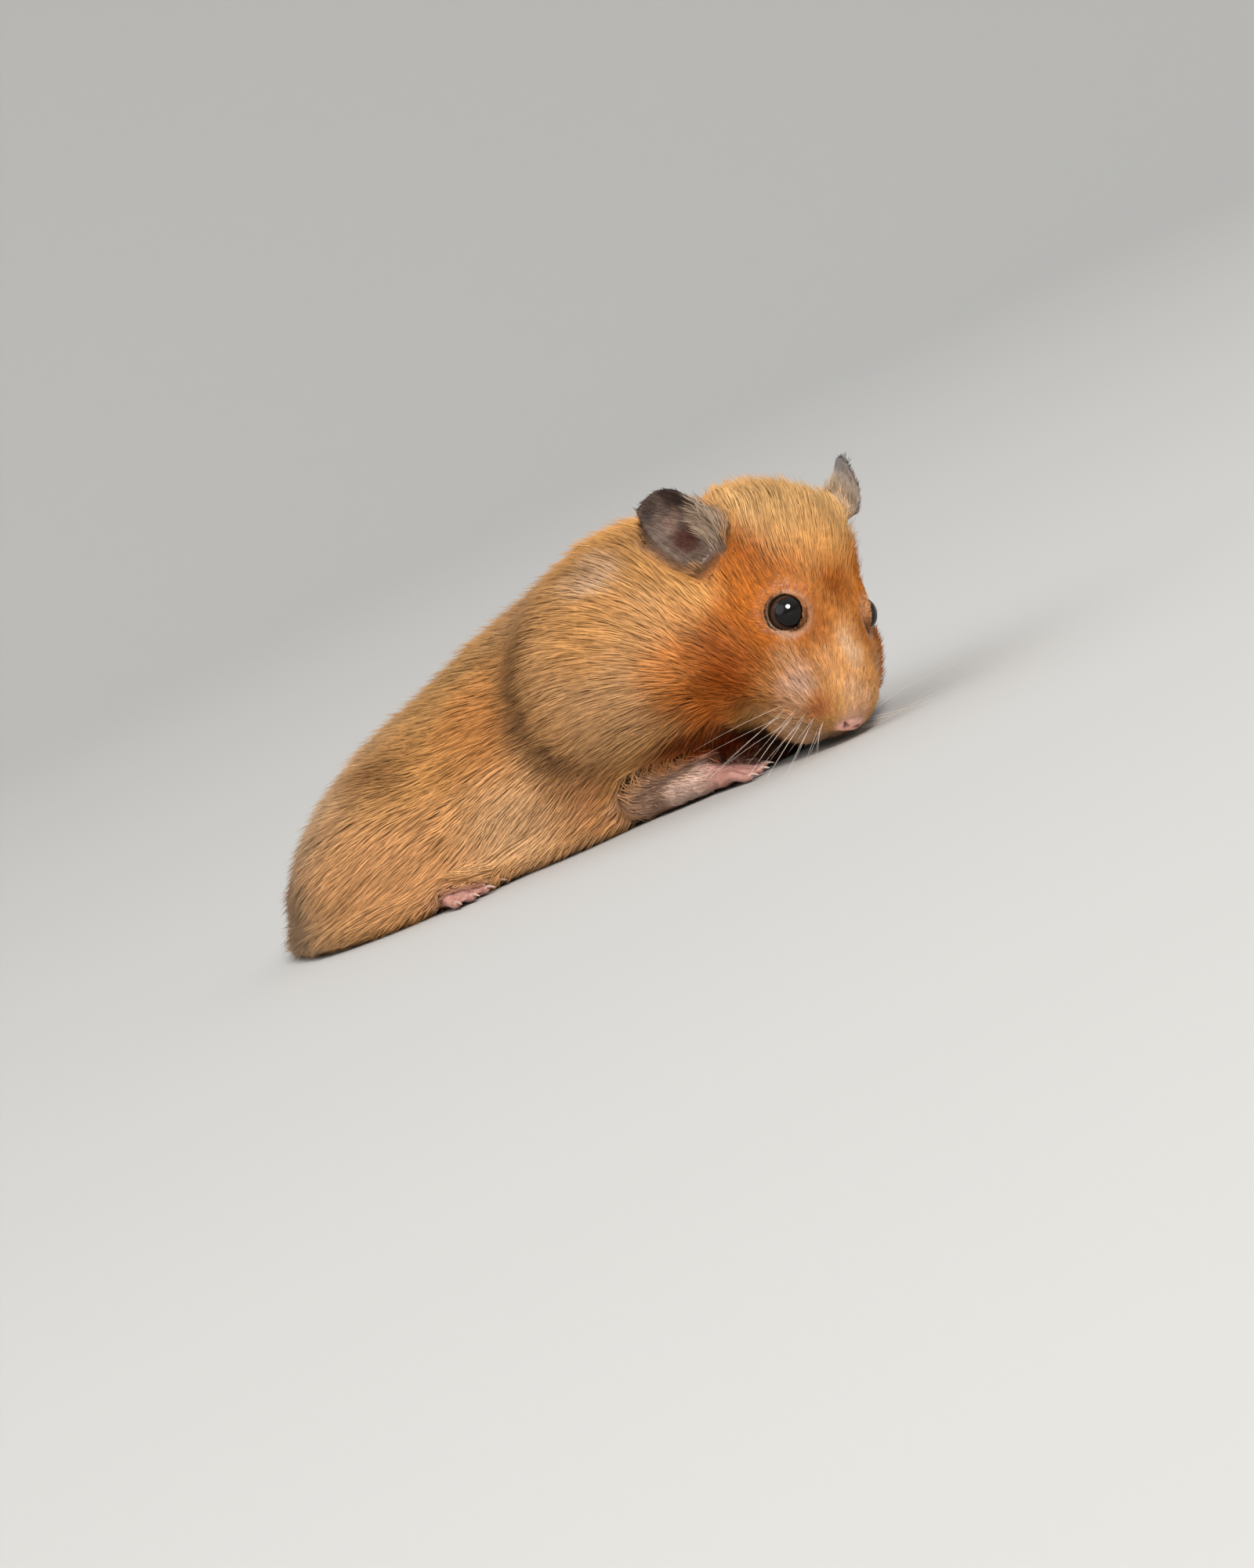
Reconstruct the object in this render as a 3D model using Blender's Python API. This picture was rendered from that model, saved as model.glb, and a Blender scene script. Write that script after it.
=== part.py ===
"""A life-size Syrian hamster, still, crouching on a level floor with its chin down.

The flesh is sculpted as one smooth level surface, built from named ellipsoids and capsules that
melt into each other, and is then parted with thin cuts into the animal's named parts. The solids
reach out to the tips of the coat. Lengths are in millimetres, scaled to metres as they are built.
The trunk points along +X, the animal's left is +Y, and its soles, belly and chin rest at Z = 0.
"""

import math

import bmesh
import bpy
import numpy as np
from mathutils import Euler, Matrix, Vector

MM = 0.001
CUT = 0.3  # width of every parting cut
SEAT = 0.65  # room left around the paws, feet and tail
SIDES = {"right": -1, "left": 1}

# ---- driving dimensions -------------------------------------------------------------------

# The head's own axes are forward along the muzzle, left, and up through the crown.
HEAD_AT = Vector((52.0, -5.0, 21.5))
HEAD_TURN = Euler((math.radians(-31.5), math.radians(43.5), math.radians(-45.5)), "XYZ").to_matrix()

EYE_AT = (7.5, 7.5, 4.9)
EYE_FACES = (0.35, 0.85, 0.4)
EYE_RADIUS = 3.2
EYE_OPENING = 3.1  # radius of the hole in the flesh that it looks out of
# Each ear: the middle of its root, which way it runs and which way it opens, in the head's axes,
# then its length, how deeply it is cupped, how far its tip bends over and how much its lower edge
# draws in towards the tip. The right one is laid back.
EARS = {
    "right": ((-7.2, -14.8, 7.6), (-0.95, -0.26, -0.19), (0.18, -0.92, 0.35), 15.8, 3.4, -1.5, 0.75),
    "left": ((-10.0, 12.2, 8.3), (-0.33, 0.0, 0.94), (0.38, 0.92, 0.14), 13.4, 2.9, 0.0, 0.0),
}
EAR_WIDTH = 11.8
EAR_THICKNESS = 0.9
EAR_CELLS = 8

BODY_STEP = 1.0
FOOT_STEP = 0.42
BODY_FACES = 1200
HEAD_STEP = 0.7
HEAD_FACES = 2000
FOOT_FACES = 380
PAW_FACES = 350
TAIL_FACES = 120

# Colour and roughness of each kind of part.
LOOKS = {
    "fur": ((0.56, 0.29, 0.10), 0.85),
    "ear": ((0.20, 0.15, 0.13), 0.8),
    "paw": ((0.76, 0.50, 0.42), 0.6),
    "eye": ((0.012, 0.009, 0.008), 0.08),
    "claw": ((0.72, 0.60, 0.50), 0.4),
}
LOW = (-66.0, -40.0, -3.0)
HIGH = (80.0, 40.0, 56.0)

# Each lump is: centre, radii, and how widely it melts into the ones before it.
TRUNK = {
    "haunches": ((-25, 0, 0), (31, 27, 24.5), 4),
    "loin": ((-6, 0, 11.5), (31.5, 24.5, 21.3), 12),
    "ribs": ((9.5, 0, 13), (25.5, 22.5, 26.5), 10),
    "shoulders": ((29, -2.5, 25.5), (22.5, 20, 20.3), 8),
    "chest": ((35, -4, 15.5), (15, 13, 11), 8),
    "throat": ((39, 0, 3), (8.5, 9.5, 5.5), 4),
    "right_thigh": ((-24, -18, 8), (18.5, 11.5, 14.5), 8),
    "left_thigh": ((-24, 18, 8), (18.5, 11.5, 14.5), 8),
    "right_pouch": ((27, -15.5, 25), (19.5, 12.5, 18.5), 3.5),
    "left_pouch": ((34, 12, 24), (19.5, 12.5, 18), 3.5),
}
# These are in the head's axes. A pair is given for the left side and mirrored.
SKULL = {
    "cranium": ((-7.7, 0, 1.6), (17, 15.7, 16.2), 8),
    "muzzle": ((11, 0, -3.2), (12.3, 9.2, 7.7), 6),
    "chin": ((10.8, 0, -11.6), (7, 5.4, 4.4), 4),
    "nose": ((20.9, 0, -5.3), (2.2, 2.4, 1.7), 2),
}
SKULL_PAIRS = {
    "cheek": ((1, 10.6, -6.6), (13.2, 7.8, 10.2), 7),
    "orbit": ((5.2, 5.4, 4.6), (3.8, 4.3, 3.1), 3),
    "whisker_pad": ((14.7, 3.8, -6.9), (5.5, 5, 5), 2.5),
    "ear_root": ((-10.3, 9.6, 10.4), (6, 4.9, 5.5), 4),
}
# Start, end, start radius and end radius of the tail's two joints.
TAIL = (((-47, 0, 8.5), (-54, 1.5, 7.5), 3.0, 2.4), ((-54, 1.5, 7.5), (-58.5, 5.5, 5), 2.4, 1.0))
# What is parted off as the head (in its own axes), the pouches, the thighs and the neck.
HEAD_PART = ((0, 0, 1), (26, 23, 22))
POUCH_PART = {
    "right": ((27, -17, 24.5), (20, 13, 18.5)),
    "left": ((34, 13, 24), (20, 13, 18)),
}
THIGH_PART = {
    "right": ((-25, -20, 8), (20.5, 12, 17)),
    "left": ((-25, 20, 8), (20.5, 12, 17)),
}
NECK_PART = ((38, -2, 36), (22, 26, 20))
# The hollow on each side between the whisker pad and the cheek, behind the corner of the mouth.
GAPE = ((12.4, 11.2, -13.2), (3.6, 5.2, 4.3))
BRIDGE = ((4, 0, 5.6), (18.5, 0, -2.6), 6.0, 3.8)

# ---- fields: negative inside, in millimetres ----------------------------------------------


def ellipsoid(points, centre, radii):
    """About the distance from each point to an upright ellipsoid."""
    offset = points - np.array(centre)
    near = np.linalg.norm(offset / np.array(radii), axis=-1)
    steep = np.linalg.norm(offset / np.square(radii), axis=-1)
    return near * (near - 1) / np.maximum(steep, 1e-9)


def capsule(points, start, end, start_radius, end_radius):
    """Distance to a tapered round bar."""
    start, end = np.array(start, float), np.array(end, float)
    along = np.clip((points - start) @ (end - start) / np.dot(end - start, end - start), 0, 1)
    centre = start + along[..., None] * (end - start)
    radius = start_radius + along * (end_radius - start_radius)
    return np.linalg.norm(points - centre, axis=-1) - radius


def melt(first, second, width):
    """The union of two fields, rounded off where they meet."""
    share = np.maximum(width - np.abs(first - second), 0) / width
    return np.minimum(first, second) - share * share * width / 4


def carve(field, tool, width):
    """Field less tool, with a rounded rim."""
    return -melt(-field, tool, width)


def on_floor(points, field):
    """The field cut off flat at the floor."""
    return np.maximum(field, -points[..., 2])


def to_head(points):
    """World points in the head's axes."""
    return (points - np.array(HEAD_AT)) @ np.array(HEAD_TURN)


def from_head(place):
    """A point of the head's axes in the world."""
    return HEAD_AT + HEAD_TURN @ Vector(place)


def mirrored(triple, side):
    return (triple[0], triple[1] * side, triple[2])


def head_field(points):
    here = to_head(points)
    field = ellipsoid(here, *SKULL["cranium"][:2])
    for name in ("muzzle", "chin"):
        centre, radii, width = SKULL[name]
        field = melt(field, ellipsoid(here, centre, radii), width)
    field = melt(field, capsule(here, *BRIDGE), 4)
    for centre, radii, width in SKULL_PAIRS.values():
        for side in SIDES.values():
            field = melt(field, ellipsoid(here, mirrored(centre, side), radii), width)
    centre, radii, width = SKULL["nose"]
    field = melt(field, ellipsoid(here, centre, radii), width)
    for side in SIDES.values():
        out = np.array(Vector(mirrored(EYE_FACES, side)).normalized())
        centre = np.array(mirrored(EYE_AT, side)) + 2.4 * out
        field = carve(field, ellipsoid(here, centre, [EYE_OPENING] * 3), 0.8)
    lips = capsule(here, (20.5, 0, -8.6), (12, 0, -9.6), 0.7, 0.5)
    field = carve(field, lips, 0.8)
    for side in SIDES.values():
        mouth = capsule(here, (16.5, 2.0 * side, -10.8), (9, 6.5 * side, -10.5), 0.6, 0.5)
        field = carve(field, mouth, 1.0)
        field = carve(field, ellipsoid(here, mirrored(GAPE[0], side), GAPE[1]), 2.0)
    return field


def foreleg_bones(side):
    """Elbow, wrist and paw direction of a foreleg."""
    if side < 0:
        return (17, -15, 6.5), (29.3, -16.0, 3.4), Vector((0.99, 0.14, 0)).normalized()
    return (30, 11, 7.0), (39.0, 13.5, 3.4), Vector((0.97, -0.1, 0)).normalized()


def body_field(points):
    """All the flesh but the ears, paws, feet and tail."""
    field = None
    for centre, radii, width in TRUNK.values():
        lump = ellipsoid(points, centre, radii)
        field = lump if field is None else melt(field, lump, width)
    field = melt(field, head_field(points), 5)
    for side in SIDES.values():
        elbow, wrist, _ = foreleg_bones(side)
        field = melt(field, capsule(points, elbow, wrist, 4.2, 2.9), 2)
    return on_floor(points, field)


# ---- meshes -------------------------------------------------------------------------------


def grid_points(low, high, step):
    axes = [np.arange(a, b + step, step) for a, b in zip(low, high)]
    return np.stack(np.meshgrid(*axes, indexing="ij"), axis=-1)


def fill_pinches(values, step):
    """Fills a corner of each grid square that is inside at two opposite corners only.

    The surface would touch itself along an edge there.
    """
    for _ in range(6):
        for axis in range(3):
            layers = np.moveaxis(values, axis, 0)
            near, far = layers[:, :-1, :-1], layers[:, 1:, 1:]
            left, right = layers[:, 1:, :-1], layers[:, :-1, 1:]
            leans = (near < 0) & (far < 0) & (left >= 0) & (right >= 0)
            left[leans] = -0.05 * step
            leans = (near >= 0) & (far >= 0) & (left < 0) & (right < 0)
            near[leans] = -0.05 * step


def level_mesh(name, field, low, high, step):
    """The zero level of a field as a quad mesh: one point in each grid cell that it crosses."""
    places = grid_points(low, high, step)
    values = field(places)
    for axis in range(3):
        rim = np.moveaxis(values, axis, 0)
        rim[[0, -1]] = np.maximum(rim[[0, -1]], step)
    fill_pinches(values, step)
    cells = tuple(n - 1 for n in values.shape)
    total = np.zeros(cells + (3,))
    count = np.zeros(cells)
    corners = [np.array((i, j, k)) for i in (0, 1) for j in (0, 1) for k in (0, 1)]

    def at(corner):
        return tuple(slice(c, c + n) for c, n in zip(corner, cells))

    for first in corners:
        for second in corners:
            if np.sum(second - first) != 1 or np.min(second - first) < 0:
                continue
            a, b = values[at(first)], values[at(second)]
            crosses = (a < 0) != (b < 0)
            share = np.where(crosses, a / np.where(crosses, a - b, 1), 0)[..., None]
            spot = places[at(first)] * (1 - share) + places[at(second)] * share
            total += spot * crosses[..., None]
            count += crosses
    used = count > 0
    index = np.full(cells, -1)
    index[used] = np.arange(used.sum())
    points = total[used] / count[used][:, None]

    quads = []
    inside = values < 0
    for axis in range(3):
        u, v = (axis + 1) % 3, (axis + 2) % 3
        ahead = np.take(inside, range(1, values.shape[axis]), axis)
        behind = np.take(inside, range(values.shape[axis] - 1), axis)
        for leaving in (True, False):
            edges = np.argwhere((behind & ~ahead) if leaving else (~behind & ahead))
            ring = []
            for du, dv in ((-1, -1), (0, -1), (0, 0), (-1, 0)):
                cell = edges.copy()
                cell[:, u] += du
                cell[:, v] += dv
                ring.append(index[tuple(cell.T)])
            quad = np.stack(ring, axis=-1)
            quads.append(quad if leaving else quad[:, ::-1])
    mesh = bpy.data.meshes.new(name)
    mesh.from_pydata((points * MM).tolist(), [], np.concatenate(quads).tolist())
    part_fans(mesh)
    return mesh


def part_fans(mesh):
    """Moves apart the sheets of a surface that share a single point."""
    shape = bmesh.new()
    shape.from_mesh(mesh)
    for shared in [v for v in shape.verts if not v.is_manifold]:
        for vertex in bmesh.utils.vert_separate(shared, ()):
            around = [edge.other_vert(vertex).co for edge in vertex.link_edges]
            vertex.co = vertex.co.lerp(sum(around, Vector()) / len(around), 0.3)
    shape.to_mesh(mesh)
    shape.free()


def new_object(name, mesh):
    thing = bpy.data.objects.new(name, mesh)
    bpy.context.scene.collection.objects.link(thing)
    return thing


def tidied(thing):
    """The object with the flat strips that cuts leave merged."""
    modifier = thing.modifiers.new("flat", "DECIMATE")
    modifier.decimate_type = "DISSOLVE"
    modifier.angle_limit = math.radians(1.0)
    return applied(thing)


def thinned(thing, faces):
    """The object with its mesh decimated to about that many triangles."""
    thing.data.calc_loop_triangles()
    modifier = thing.modifiers.new("thin", "DECIMATE")
    modifier.ratio = faces / len(thing.data.loop_triangles)
    modifier.use_collapse_triangulate = True
    return applied(thing)


def applied(thing):
    """The object with its modifiers made real."""
    graph = bpy.context.evaluated_depsgraph_get()
    mesh = bpy.data.meshes.new_from_object(thing.evaluated_get(graph))
    thing.modifiers.clear()
    thing.data = mesh
    return thing


def ball_mesh(name, centre, radii, turn=Matrix.Identity(3), detail=2):
    """A turned ellipsoid. Millimetres."""
    mesh = bpy.data.meshes.new(name)
    shape = bmesh.new()
    bmesh.ops.create_icosphere(shape, subdivisions=detail, radius=1)
    for vertex in shape.verts:
        place = Vector([r * x for r, x in zip(radii, vertex.co)])
        vertex.co = (Vector(centre) + turn @ place) * MM
    shape.to_mesh(mesh)
    shape.free()
    return mesh


def tool_object(name, mesh):
    tool = new_object(name, mesh)
    tool.hide_render = True
    tool.display_type = "WIRE"
    return tool


def cut(thing, tool, operation="DIFFERENCE"):
    """The object less the tool, or what it shares with it."""
    modifier = thing.modifiers.new(operation.lower(), "BOOLEAN")
    modifier.operation = operation
    modifier.object = tool
    return applied(thing)


def drop_specks(thing):
    """Keeps the largest piece of an object, where a cut grazes the surface."""
    shape = bmesh.new()
    shape.from_mesh(thing.data)
    left = set(shape.verts)
    groups = []
    while left:
        group, edge = set(), {left.pop()}
        while edge:
            group |= edge
            edge = {e.other_vert(v) for v in edge for e in v.link_edges} - group
        left -= group
        groups.append(group)
    groups.sort(key=len)
    for group in groups[:-1]:
        bmesh.ops.delete(shape, geom=list(group), context="VERTS")
    shape.to_mesh(thing.data)
    shape.free()


def part_off(body, name, centre, radii, turn=Matrix.Identity(3)):
    """Takes what lies in an ellipsoid off the body as its own object, with a gap between them."""
    piece = new_object(name, body.data.copy())
    inner = tool_object(name + "_inner", ball_mesh(name + "_inner", centre, radii, turn))
    cut(piece, inner, "INTERSECT")
    grown = [r + CUT for r in radii]
    outer = tool_object(name + "_room", ball_mesh(name + "_room", centre, grown, turn))
    cut(body, outer)
    drop_specks(piece)
    drop_specks(body)
    return piece


# ---- the small parts ------------------------------------------------------------------------


def ear_sheet(name, thickness, root):
    """A cupped round ear: a disc of cells, bent and thickened, run deeper at its root."""
    base, along, out, length, cup, bend, drawn_in = EARS[name]
    along = HEAD_TURN @ Vector(along).normalized()
    out = HEAD_TURN @ Vector(out).normalized()
    out = (out - along * out.dot(along)).normalized()
    across = out.cross(along)
    base = from_head(base)
    shape = bmesh.new()
    bmesh.ops.create_grid(shape, x_segments=EAR_CELLS, y_segments=EAR_CELLS, size=1)
    for vertex in shape.verts:
        x, y = vertex.co.x, vertex.co.y
        square = 0.5 if y > 0 else 0.12
        x, y = x * math.sqrt(1 - square * y * y), y * math.sqrt(1 - square * x * x)
        height = (y + 1) / 2
        narrow = 1 - 0.12 * (1 - height) ** 2
        if x > 0:
            narrow *= 1 - drawn_in * height
        reach = length * height - root * max(1 - 3 * height, 0)
        hollow = cup * math.sin(math.pi * (0.15 + 0.7 * height)) * (x * x - 0.12) * narrow
        place = base + along * reach + across * (x * narrow * EAR_WIDTH / 2)
        vertex.co = (place + out * (hollow + bend * height * height)) * MM
    mesh = bpy.data.meshes.new("ear")
    shape.to_mesh(mesh)
    shape.free()
    thing = new_object("ear", mesh)
    thick = thing.modifiers.new("thick", "SOLIDIFY")
    thick.thickness = thickness * MM
    thick.offset = 0
    applied(thing)
    shape = bmesh.new()
    shape.from_mesh(thing.data)
    bmesh.ops.recalc_face_normals(shape, faces=shape.faces)
    shape.to_mesh(thing.data)
    shape.free()
    return thing


def toe_places(root, heading, spreads, reach, radius, fan):
    """Start, end and radius of each toe, fanned about the heading."""
    aside = Vector((-heading.y, heading.x, 0))
    toes = []
    for share, length in spreads:
        start = root + aside * (share * fan)
        toward = (heading + aside * share * 0.42).normalized()
        tip = start + toward * reach * length
        tip.z = radius * 0.95
        toes.append((start, tip, radius, toward))
    return toes


def paw_shape(side):
    """The lumps and toes of a forepaw, in the world."""
    _, wrist, heading = foreleg_bones(side)
    wrist = Vector(wrist)
    root = wrist + heading * 5.6
    root.z = 1.7
    toes = toe_places(root, heading, ((-1, 0.86), (-0.36, 1), (0.32, 1), (0.95, 0.84)), 5.4, 0.95, 2.1)
    return wrist, heading, toes


def paw_field(side):
    wrist, heading, toes = paw_shape(side)
    palm = wrist + heading * 4.2
    palm.z = 2.1

    def field(points):
        value = capsule(points, wrist - heading * 3, wrist + heading * 1.5, 2.9, 2.6)
        value = melt(value, capsule(points, wrist + heading, palm + heading * 1.8, 2.3, 1.9), 1.5)
        for start, tip, radius, _ in toes:
            knuckle = (start + tip) / 2 + Vector((0, 0, 0.75))
            value = melt(value, capsule(points, start, knuckle, radius * 1.15, radius), 0.8)
            value = melt(value, capsule(points, knuckle, tip, radius, radius * 0.9), 0.5)
        return value

    return field


def foot_shape(side):
    """The heel and toes of a hind foot, in the world."""
    heel = Vector(mirrored((-26, 19.5, 2.6), side))
    heading = Vector(mirrored((0.93, 0.37, 0), side)).normalized()
    root = heel + heading * 13.5
    root.z = 1.7
    aside = ((-1, 0.72), (-0.5, 0.95), (0, 1), (0.5, 0.95), (1, 0.74))
    return heel, heading, toe_places(root, heading, aside, 6.6, 1.05, 2.7)


def foot_field(side):
    heel, heading, toes = foot_shape(side)

    def field(points):
        ball = heel + heading * 12.5
        ball.z = 1.9
        value = capsule(points, heel, ball, 2.4, 1.9)
        for start, tip, radius, _ in toes:
            value = melt(value, capsule(points, heel + heading * 9, start, 1.5, radius * 1.1), 1.2)
            knuckle = (start + tip) / 2 + Vector((0, 0, 0.6))
            value = melt(value, capsule(points, start, knuckle, radius * 1.1, radius), 0.8)
            value = melt(value, capsule(points, knuckle, tip, radius, radius * 0.9), 0.5)
        return value

    return field


def tail_field(points):
    value = capsule(points, *TAIL[0])
    return melt(value, capsule(points, *TAIL[1]), 1)


def fine_object(name, field, centre, reach, step, faces):
    low = [c - r for c, r in zip(centre, reach)]
    high = [c + r for c, r in zip(centre, reach)]
    thing = new_object(name, level_mesh(name, field, low, high, step))
    return thinned(thing, faces)


def claw_mesh(name, toe, length):
    """A curved, tapered claw that leaves the tip of a toe and stays off the floor."""
    _, tip, radius, toward = toe
    shape = bmesh.new()
    rings = []
    rows, sides = 3, 5
    aside = Vector((-toward.y, toward.x, 0))
    for row in range(rows):
        share = row / (rows - 1)
        middle = tip + toward * (radius * 0.9 + CUT + length * share)
        middle.z = tip.z + 0.25 + 0.3 * math.sin(math.pi * share) - 0.45 * share
        size = 0.42 * (1 - 0.75 * share)
        ring = []
        for corner in range(sides):
            turn = 2 * math.pi * corner / sides
            offset = aside * math.cos(turn) + Vector((0, 0, 1)) * math.sin(turn)
            ring.append(shape.verts.new((middle + offset * size) * MM))
        rings.append(ring)
    for first, second in zip(rings, rings[1:]):
        for k in range(sides):
            n = (k + 1) % sides
            shape.faces.new((first[k], first[n], second[n], second[k]))
    shape.faces.new(rings[0][::-1])
    shape.faces.new(rings[-1])
    bmesh.ops.recalc_face_normals(shape, faces=shape.faces)
    mesh = bpy.data.meshes.new(name)
    shape.to_mesh(mesh)
    shape.free()
    return mesh


def seat(thing, holder, name):
    """Cuts from the holder the room that a part needs, given a grown copy of the part."""
    thing.name = name
    thing.hide_render = True
    thing.display_type = "WIRE"
    cut(holder, thing)


def dress(parts):
    """Gives each part a material of its kind's colour, and shades the round ones smooth."""
    kinds = {"ear": "ear", "eye": "eye", "claw": "claw", "forepaw": "paw", "hindfoot": "paw", "tail": "paw"}
    for name, thing in parts.items():
        colour, roughness = LOOKS[kinds.get(name.split("_")[0], "fur")]
        material = bpy.data.materials.new(name)
        material.use_nodes = True
        shader = material.node_tree.nodes["Principled BSDF"]
        shader.inputs["Base Color"].default_value = (*colour, 1)
        shader.inputs["Roughness"].default_value = roughness
        thing.data.materials.clear()
        thing.data.materials.append(material)
        thing.data.shade_smooth()
        thing.data.set_sharp_from_angle(angle=math.radians(45))


def settle(things):
    """Puts the origin at the middle of the bounding box's underside."""
    spots = [thing.matrix_world @ v.co for thing in things for v in thing.data.vertices]
    low = Vector([min(s[k] for s in spots) for k in range(3)])
    high = Vector([max(s[k] for s in spots) for k in range(3)])
    shift = Vector((-(low.x + high.x) / 2, -(low.y + high.y) / 2, -low.z))
    for thing in things:
        thing.data.transform(Matrix.Translation(shift))


def main():
    for thing in list(bpy.data.objects):
        bpy.data.objects.remove(thing)
    body = new_object("trunk", level_mesh("body", body_field, LOW, HIGH, BODY_STEP))
    thinned(body, BODY_FACES)
    parts = {"trunk": body}

    # Paws, feet and tail have finer meshes of their own, and the body makes room for them.
    for name, side in SIDES.items():
        for kind, maker, shape, reach, faces, length in (
            ("forepaw", paw_field, paw_shape, (15, 8, 7), PAW_FACES, 1.7),
            ("hindfoot", foot_field, foot_shape, (25, 11, 7), FOOT_FACES, 2.2),
        ):
            root, heading, toes = shape(side)
            centre = root + heading * (4 if kind == "forepaw" else 10)
            shaped = maker(side)

            def field(points, inner=shaped):
                return on_floor(points, inner(points))

            label = f"{kind}_{name}"
            foot = fine_object(label, field, centre, reach, FOOT_STEP, faces)

            def room(points, inner=shaped, toes=toes, length=length):
                value = inner(points) - SEAT
                for _, tip, radius, toward in toes:
                    far = tip + toward * (radius + length + CUT)
                    value = np.minimum(value, capsule(points, tip, far, 1.3, 1.2))
                return value

            gap = fine_object(label + "_room", room, centre, reach, 2 * FOOT_STEP, faces // 2)
            seat(gap, body, label + "_room")
            parts[label] = foot
            for number, toe in enumerate(toes, 1):
                claw = f"claw_{kind}_{name}_{number}"
                parts[claw] = new_object(claw, claw_mesh(claw, toe, length))

    tail_at, tail_reach = (-55, 3, 6), (14, 10, 9)
    tail = fine_object("tail", tail_field, tail_at, tail_reach, FOOT_STEP, TAIL_FACES)
    gap = fine_object("tail_room", lambda p: tail_field(p) - SEAT, tail_at, tail_reach, 0.8, 100)
    seat(gap, body, "tail_room")
    parts["tail"] = tail
    drop_specks(body)

    for name, side in SIDES.items():
        elbow, wrist, heading = foreleg_bones(side)
        middle = (Vector(elbow) * 0.45 + Vector(wrist) * 0.55)
        slope = (Vector(wrist) - Vector(elbow)).to_track_quat("X", "Z").to_matrix()
        label = "foreleg_" + name
        parts[label] = part_off(body, label, middle, (13, 6.0, 6.2), slope)
    head_at, head_reach = from_head(HEAD_PART[0]), [HEAD_PART[1][0] + 2] * 3
    part_off(body, "coarse_head", head_at, HEAD_PART[1], HEAD_TURN).hide_render = True
    head = fine_object("head", body_field, head_at, head_reach, HEAD_STEP, HEAD_FACES)
    keep = ball_mesh("head_inner", head_at, HEAD_PART[1], HEAD_TURN)
    cut(head, tool_object("head_inner", keep), "INTERSECT")
    for name in SIDES:
        for kind in ("forepaw", "foreleg"):
            cut(head, bpy.data.objects[f"{kind}_{name}_room"])
    drop_specks(head)
    parts["head"] = head
    for name, side in SIDES.items():
        for kind, table in (("cheek_pouch", POUCH_PART), ("hindleg", THIGH_PART)):
            centre, radii = table[name]
            label = f"{kind}_{name}"
            parts[label] = part_off(body, label, centre, radii)
    parts["neck"] = part_off(body, "neck", *NECK_PART)

    for name, side in SIDES.items():
        ear = ear_sheet(name, EAR_THICKNESS, 1.2)
        ear.name = "ear_" + name
        parts[ear.name] = ear
        gap = ear_sheet(name, EAR_THICKNESS + 2 * CUT, 1.8)
        seat(gap, parts["head"], ear.name + "_room")
        cut(parts["neck"], gap)
        eye = "eye_" + name
        centre = from_head(mirrored(EYE_AT, side))
        parts[eye] = new_object(eye, ball_mesh(eye, centre, [EYE_RADIUS] * 3, HEAD_TURN, 3))
        grown = ball_mesh(eye + "_room", centre, [EYE_RADIUS + CUT] * 3, HEAD_TURN, 3)
        cut(parts["head"], tool_object(eye + "_room", grown))
    drop_specks(parts["head"])
    for thing in parts.values():
        tidied(thing)
    settle(parts.values())
    dress(parts)


main()
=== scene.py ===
"""The looks of a life-size Syrian hamster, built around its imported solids.

One skin is closed over the solids of flesh and drawn in by the depth of the coat. A coat of thin
closed tufts grows from it, out to the solids' surface. Lengths are millimetres in the animal's own
axes (the trunk along +X, its left +Y, up +Z) and are scaled to metres as each mesh is made.
"""

import math

import bpy
import numpy as np
from mathutils import Euler, Matrix, Vector
from mathutils.bvhtree import BVHTree
from mathutils.kdtree import KDTree


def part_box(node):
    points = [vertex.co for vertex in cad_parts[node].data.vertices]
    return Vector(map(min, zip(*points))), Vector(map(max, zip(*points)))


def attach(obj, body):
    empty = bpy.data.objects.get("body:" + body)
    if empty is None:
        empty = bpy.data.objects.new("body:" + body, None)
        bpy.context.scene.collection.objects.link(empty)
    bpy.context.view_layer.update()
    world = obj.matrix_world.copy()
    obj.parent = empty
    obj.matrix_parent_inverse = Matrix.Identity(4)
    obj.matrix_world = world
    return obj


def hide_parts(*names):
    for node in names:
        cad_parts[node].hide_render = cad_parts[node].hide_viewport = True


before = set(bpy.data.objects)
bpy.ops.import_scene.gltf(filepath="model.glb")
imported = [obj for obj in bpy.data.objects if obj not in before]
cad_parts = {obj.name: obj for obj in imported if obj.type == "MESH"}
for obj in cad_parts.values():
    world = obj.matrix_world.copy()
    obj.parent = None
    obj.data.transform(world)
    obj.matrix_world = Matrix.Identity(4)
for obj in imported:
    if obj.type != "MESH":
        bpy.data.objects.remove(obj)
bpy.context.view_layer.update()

MM = 0.001
SIDES = {"right": -1, "left": 1}
rng = np.random.default_rng(12)

# ---- the animal's own axes ----

# The head's own axes are forward along the muzzle, left, and up through the crown.
HEAD_ANGLES = [math.radians(degrees) for degrees in (-31.5, 43.5, -45.5)]
HEAD_TURN = np.array(Euler(HEAD_ANGLES, "XYZ").to_matrix())
HEAD_IN_BODY = np.array((52.0, -5.0, 21.5))
EYE_AT = np.array((7.5, 7.5, 4.9))
EYE_RADIUS = 3.2
EYE_FACES = np.array((0.35, 0.85, 0.4))
NOSE_TIP = np.array((22.8, 0.0, -5.5))
NOSE_PAD = np.array((22.4, 0, -5.6))
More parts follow.
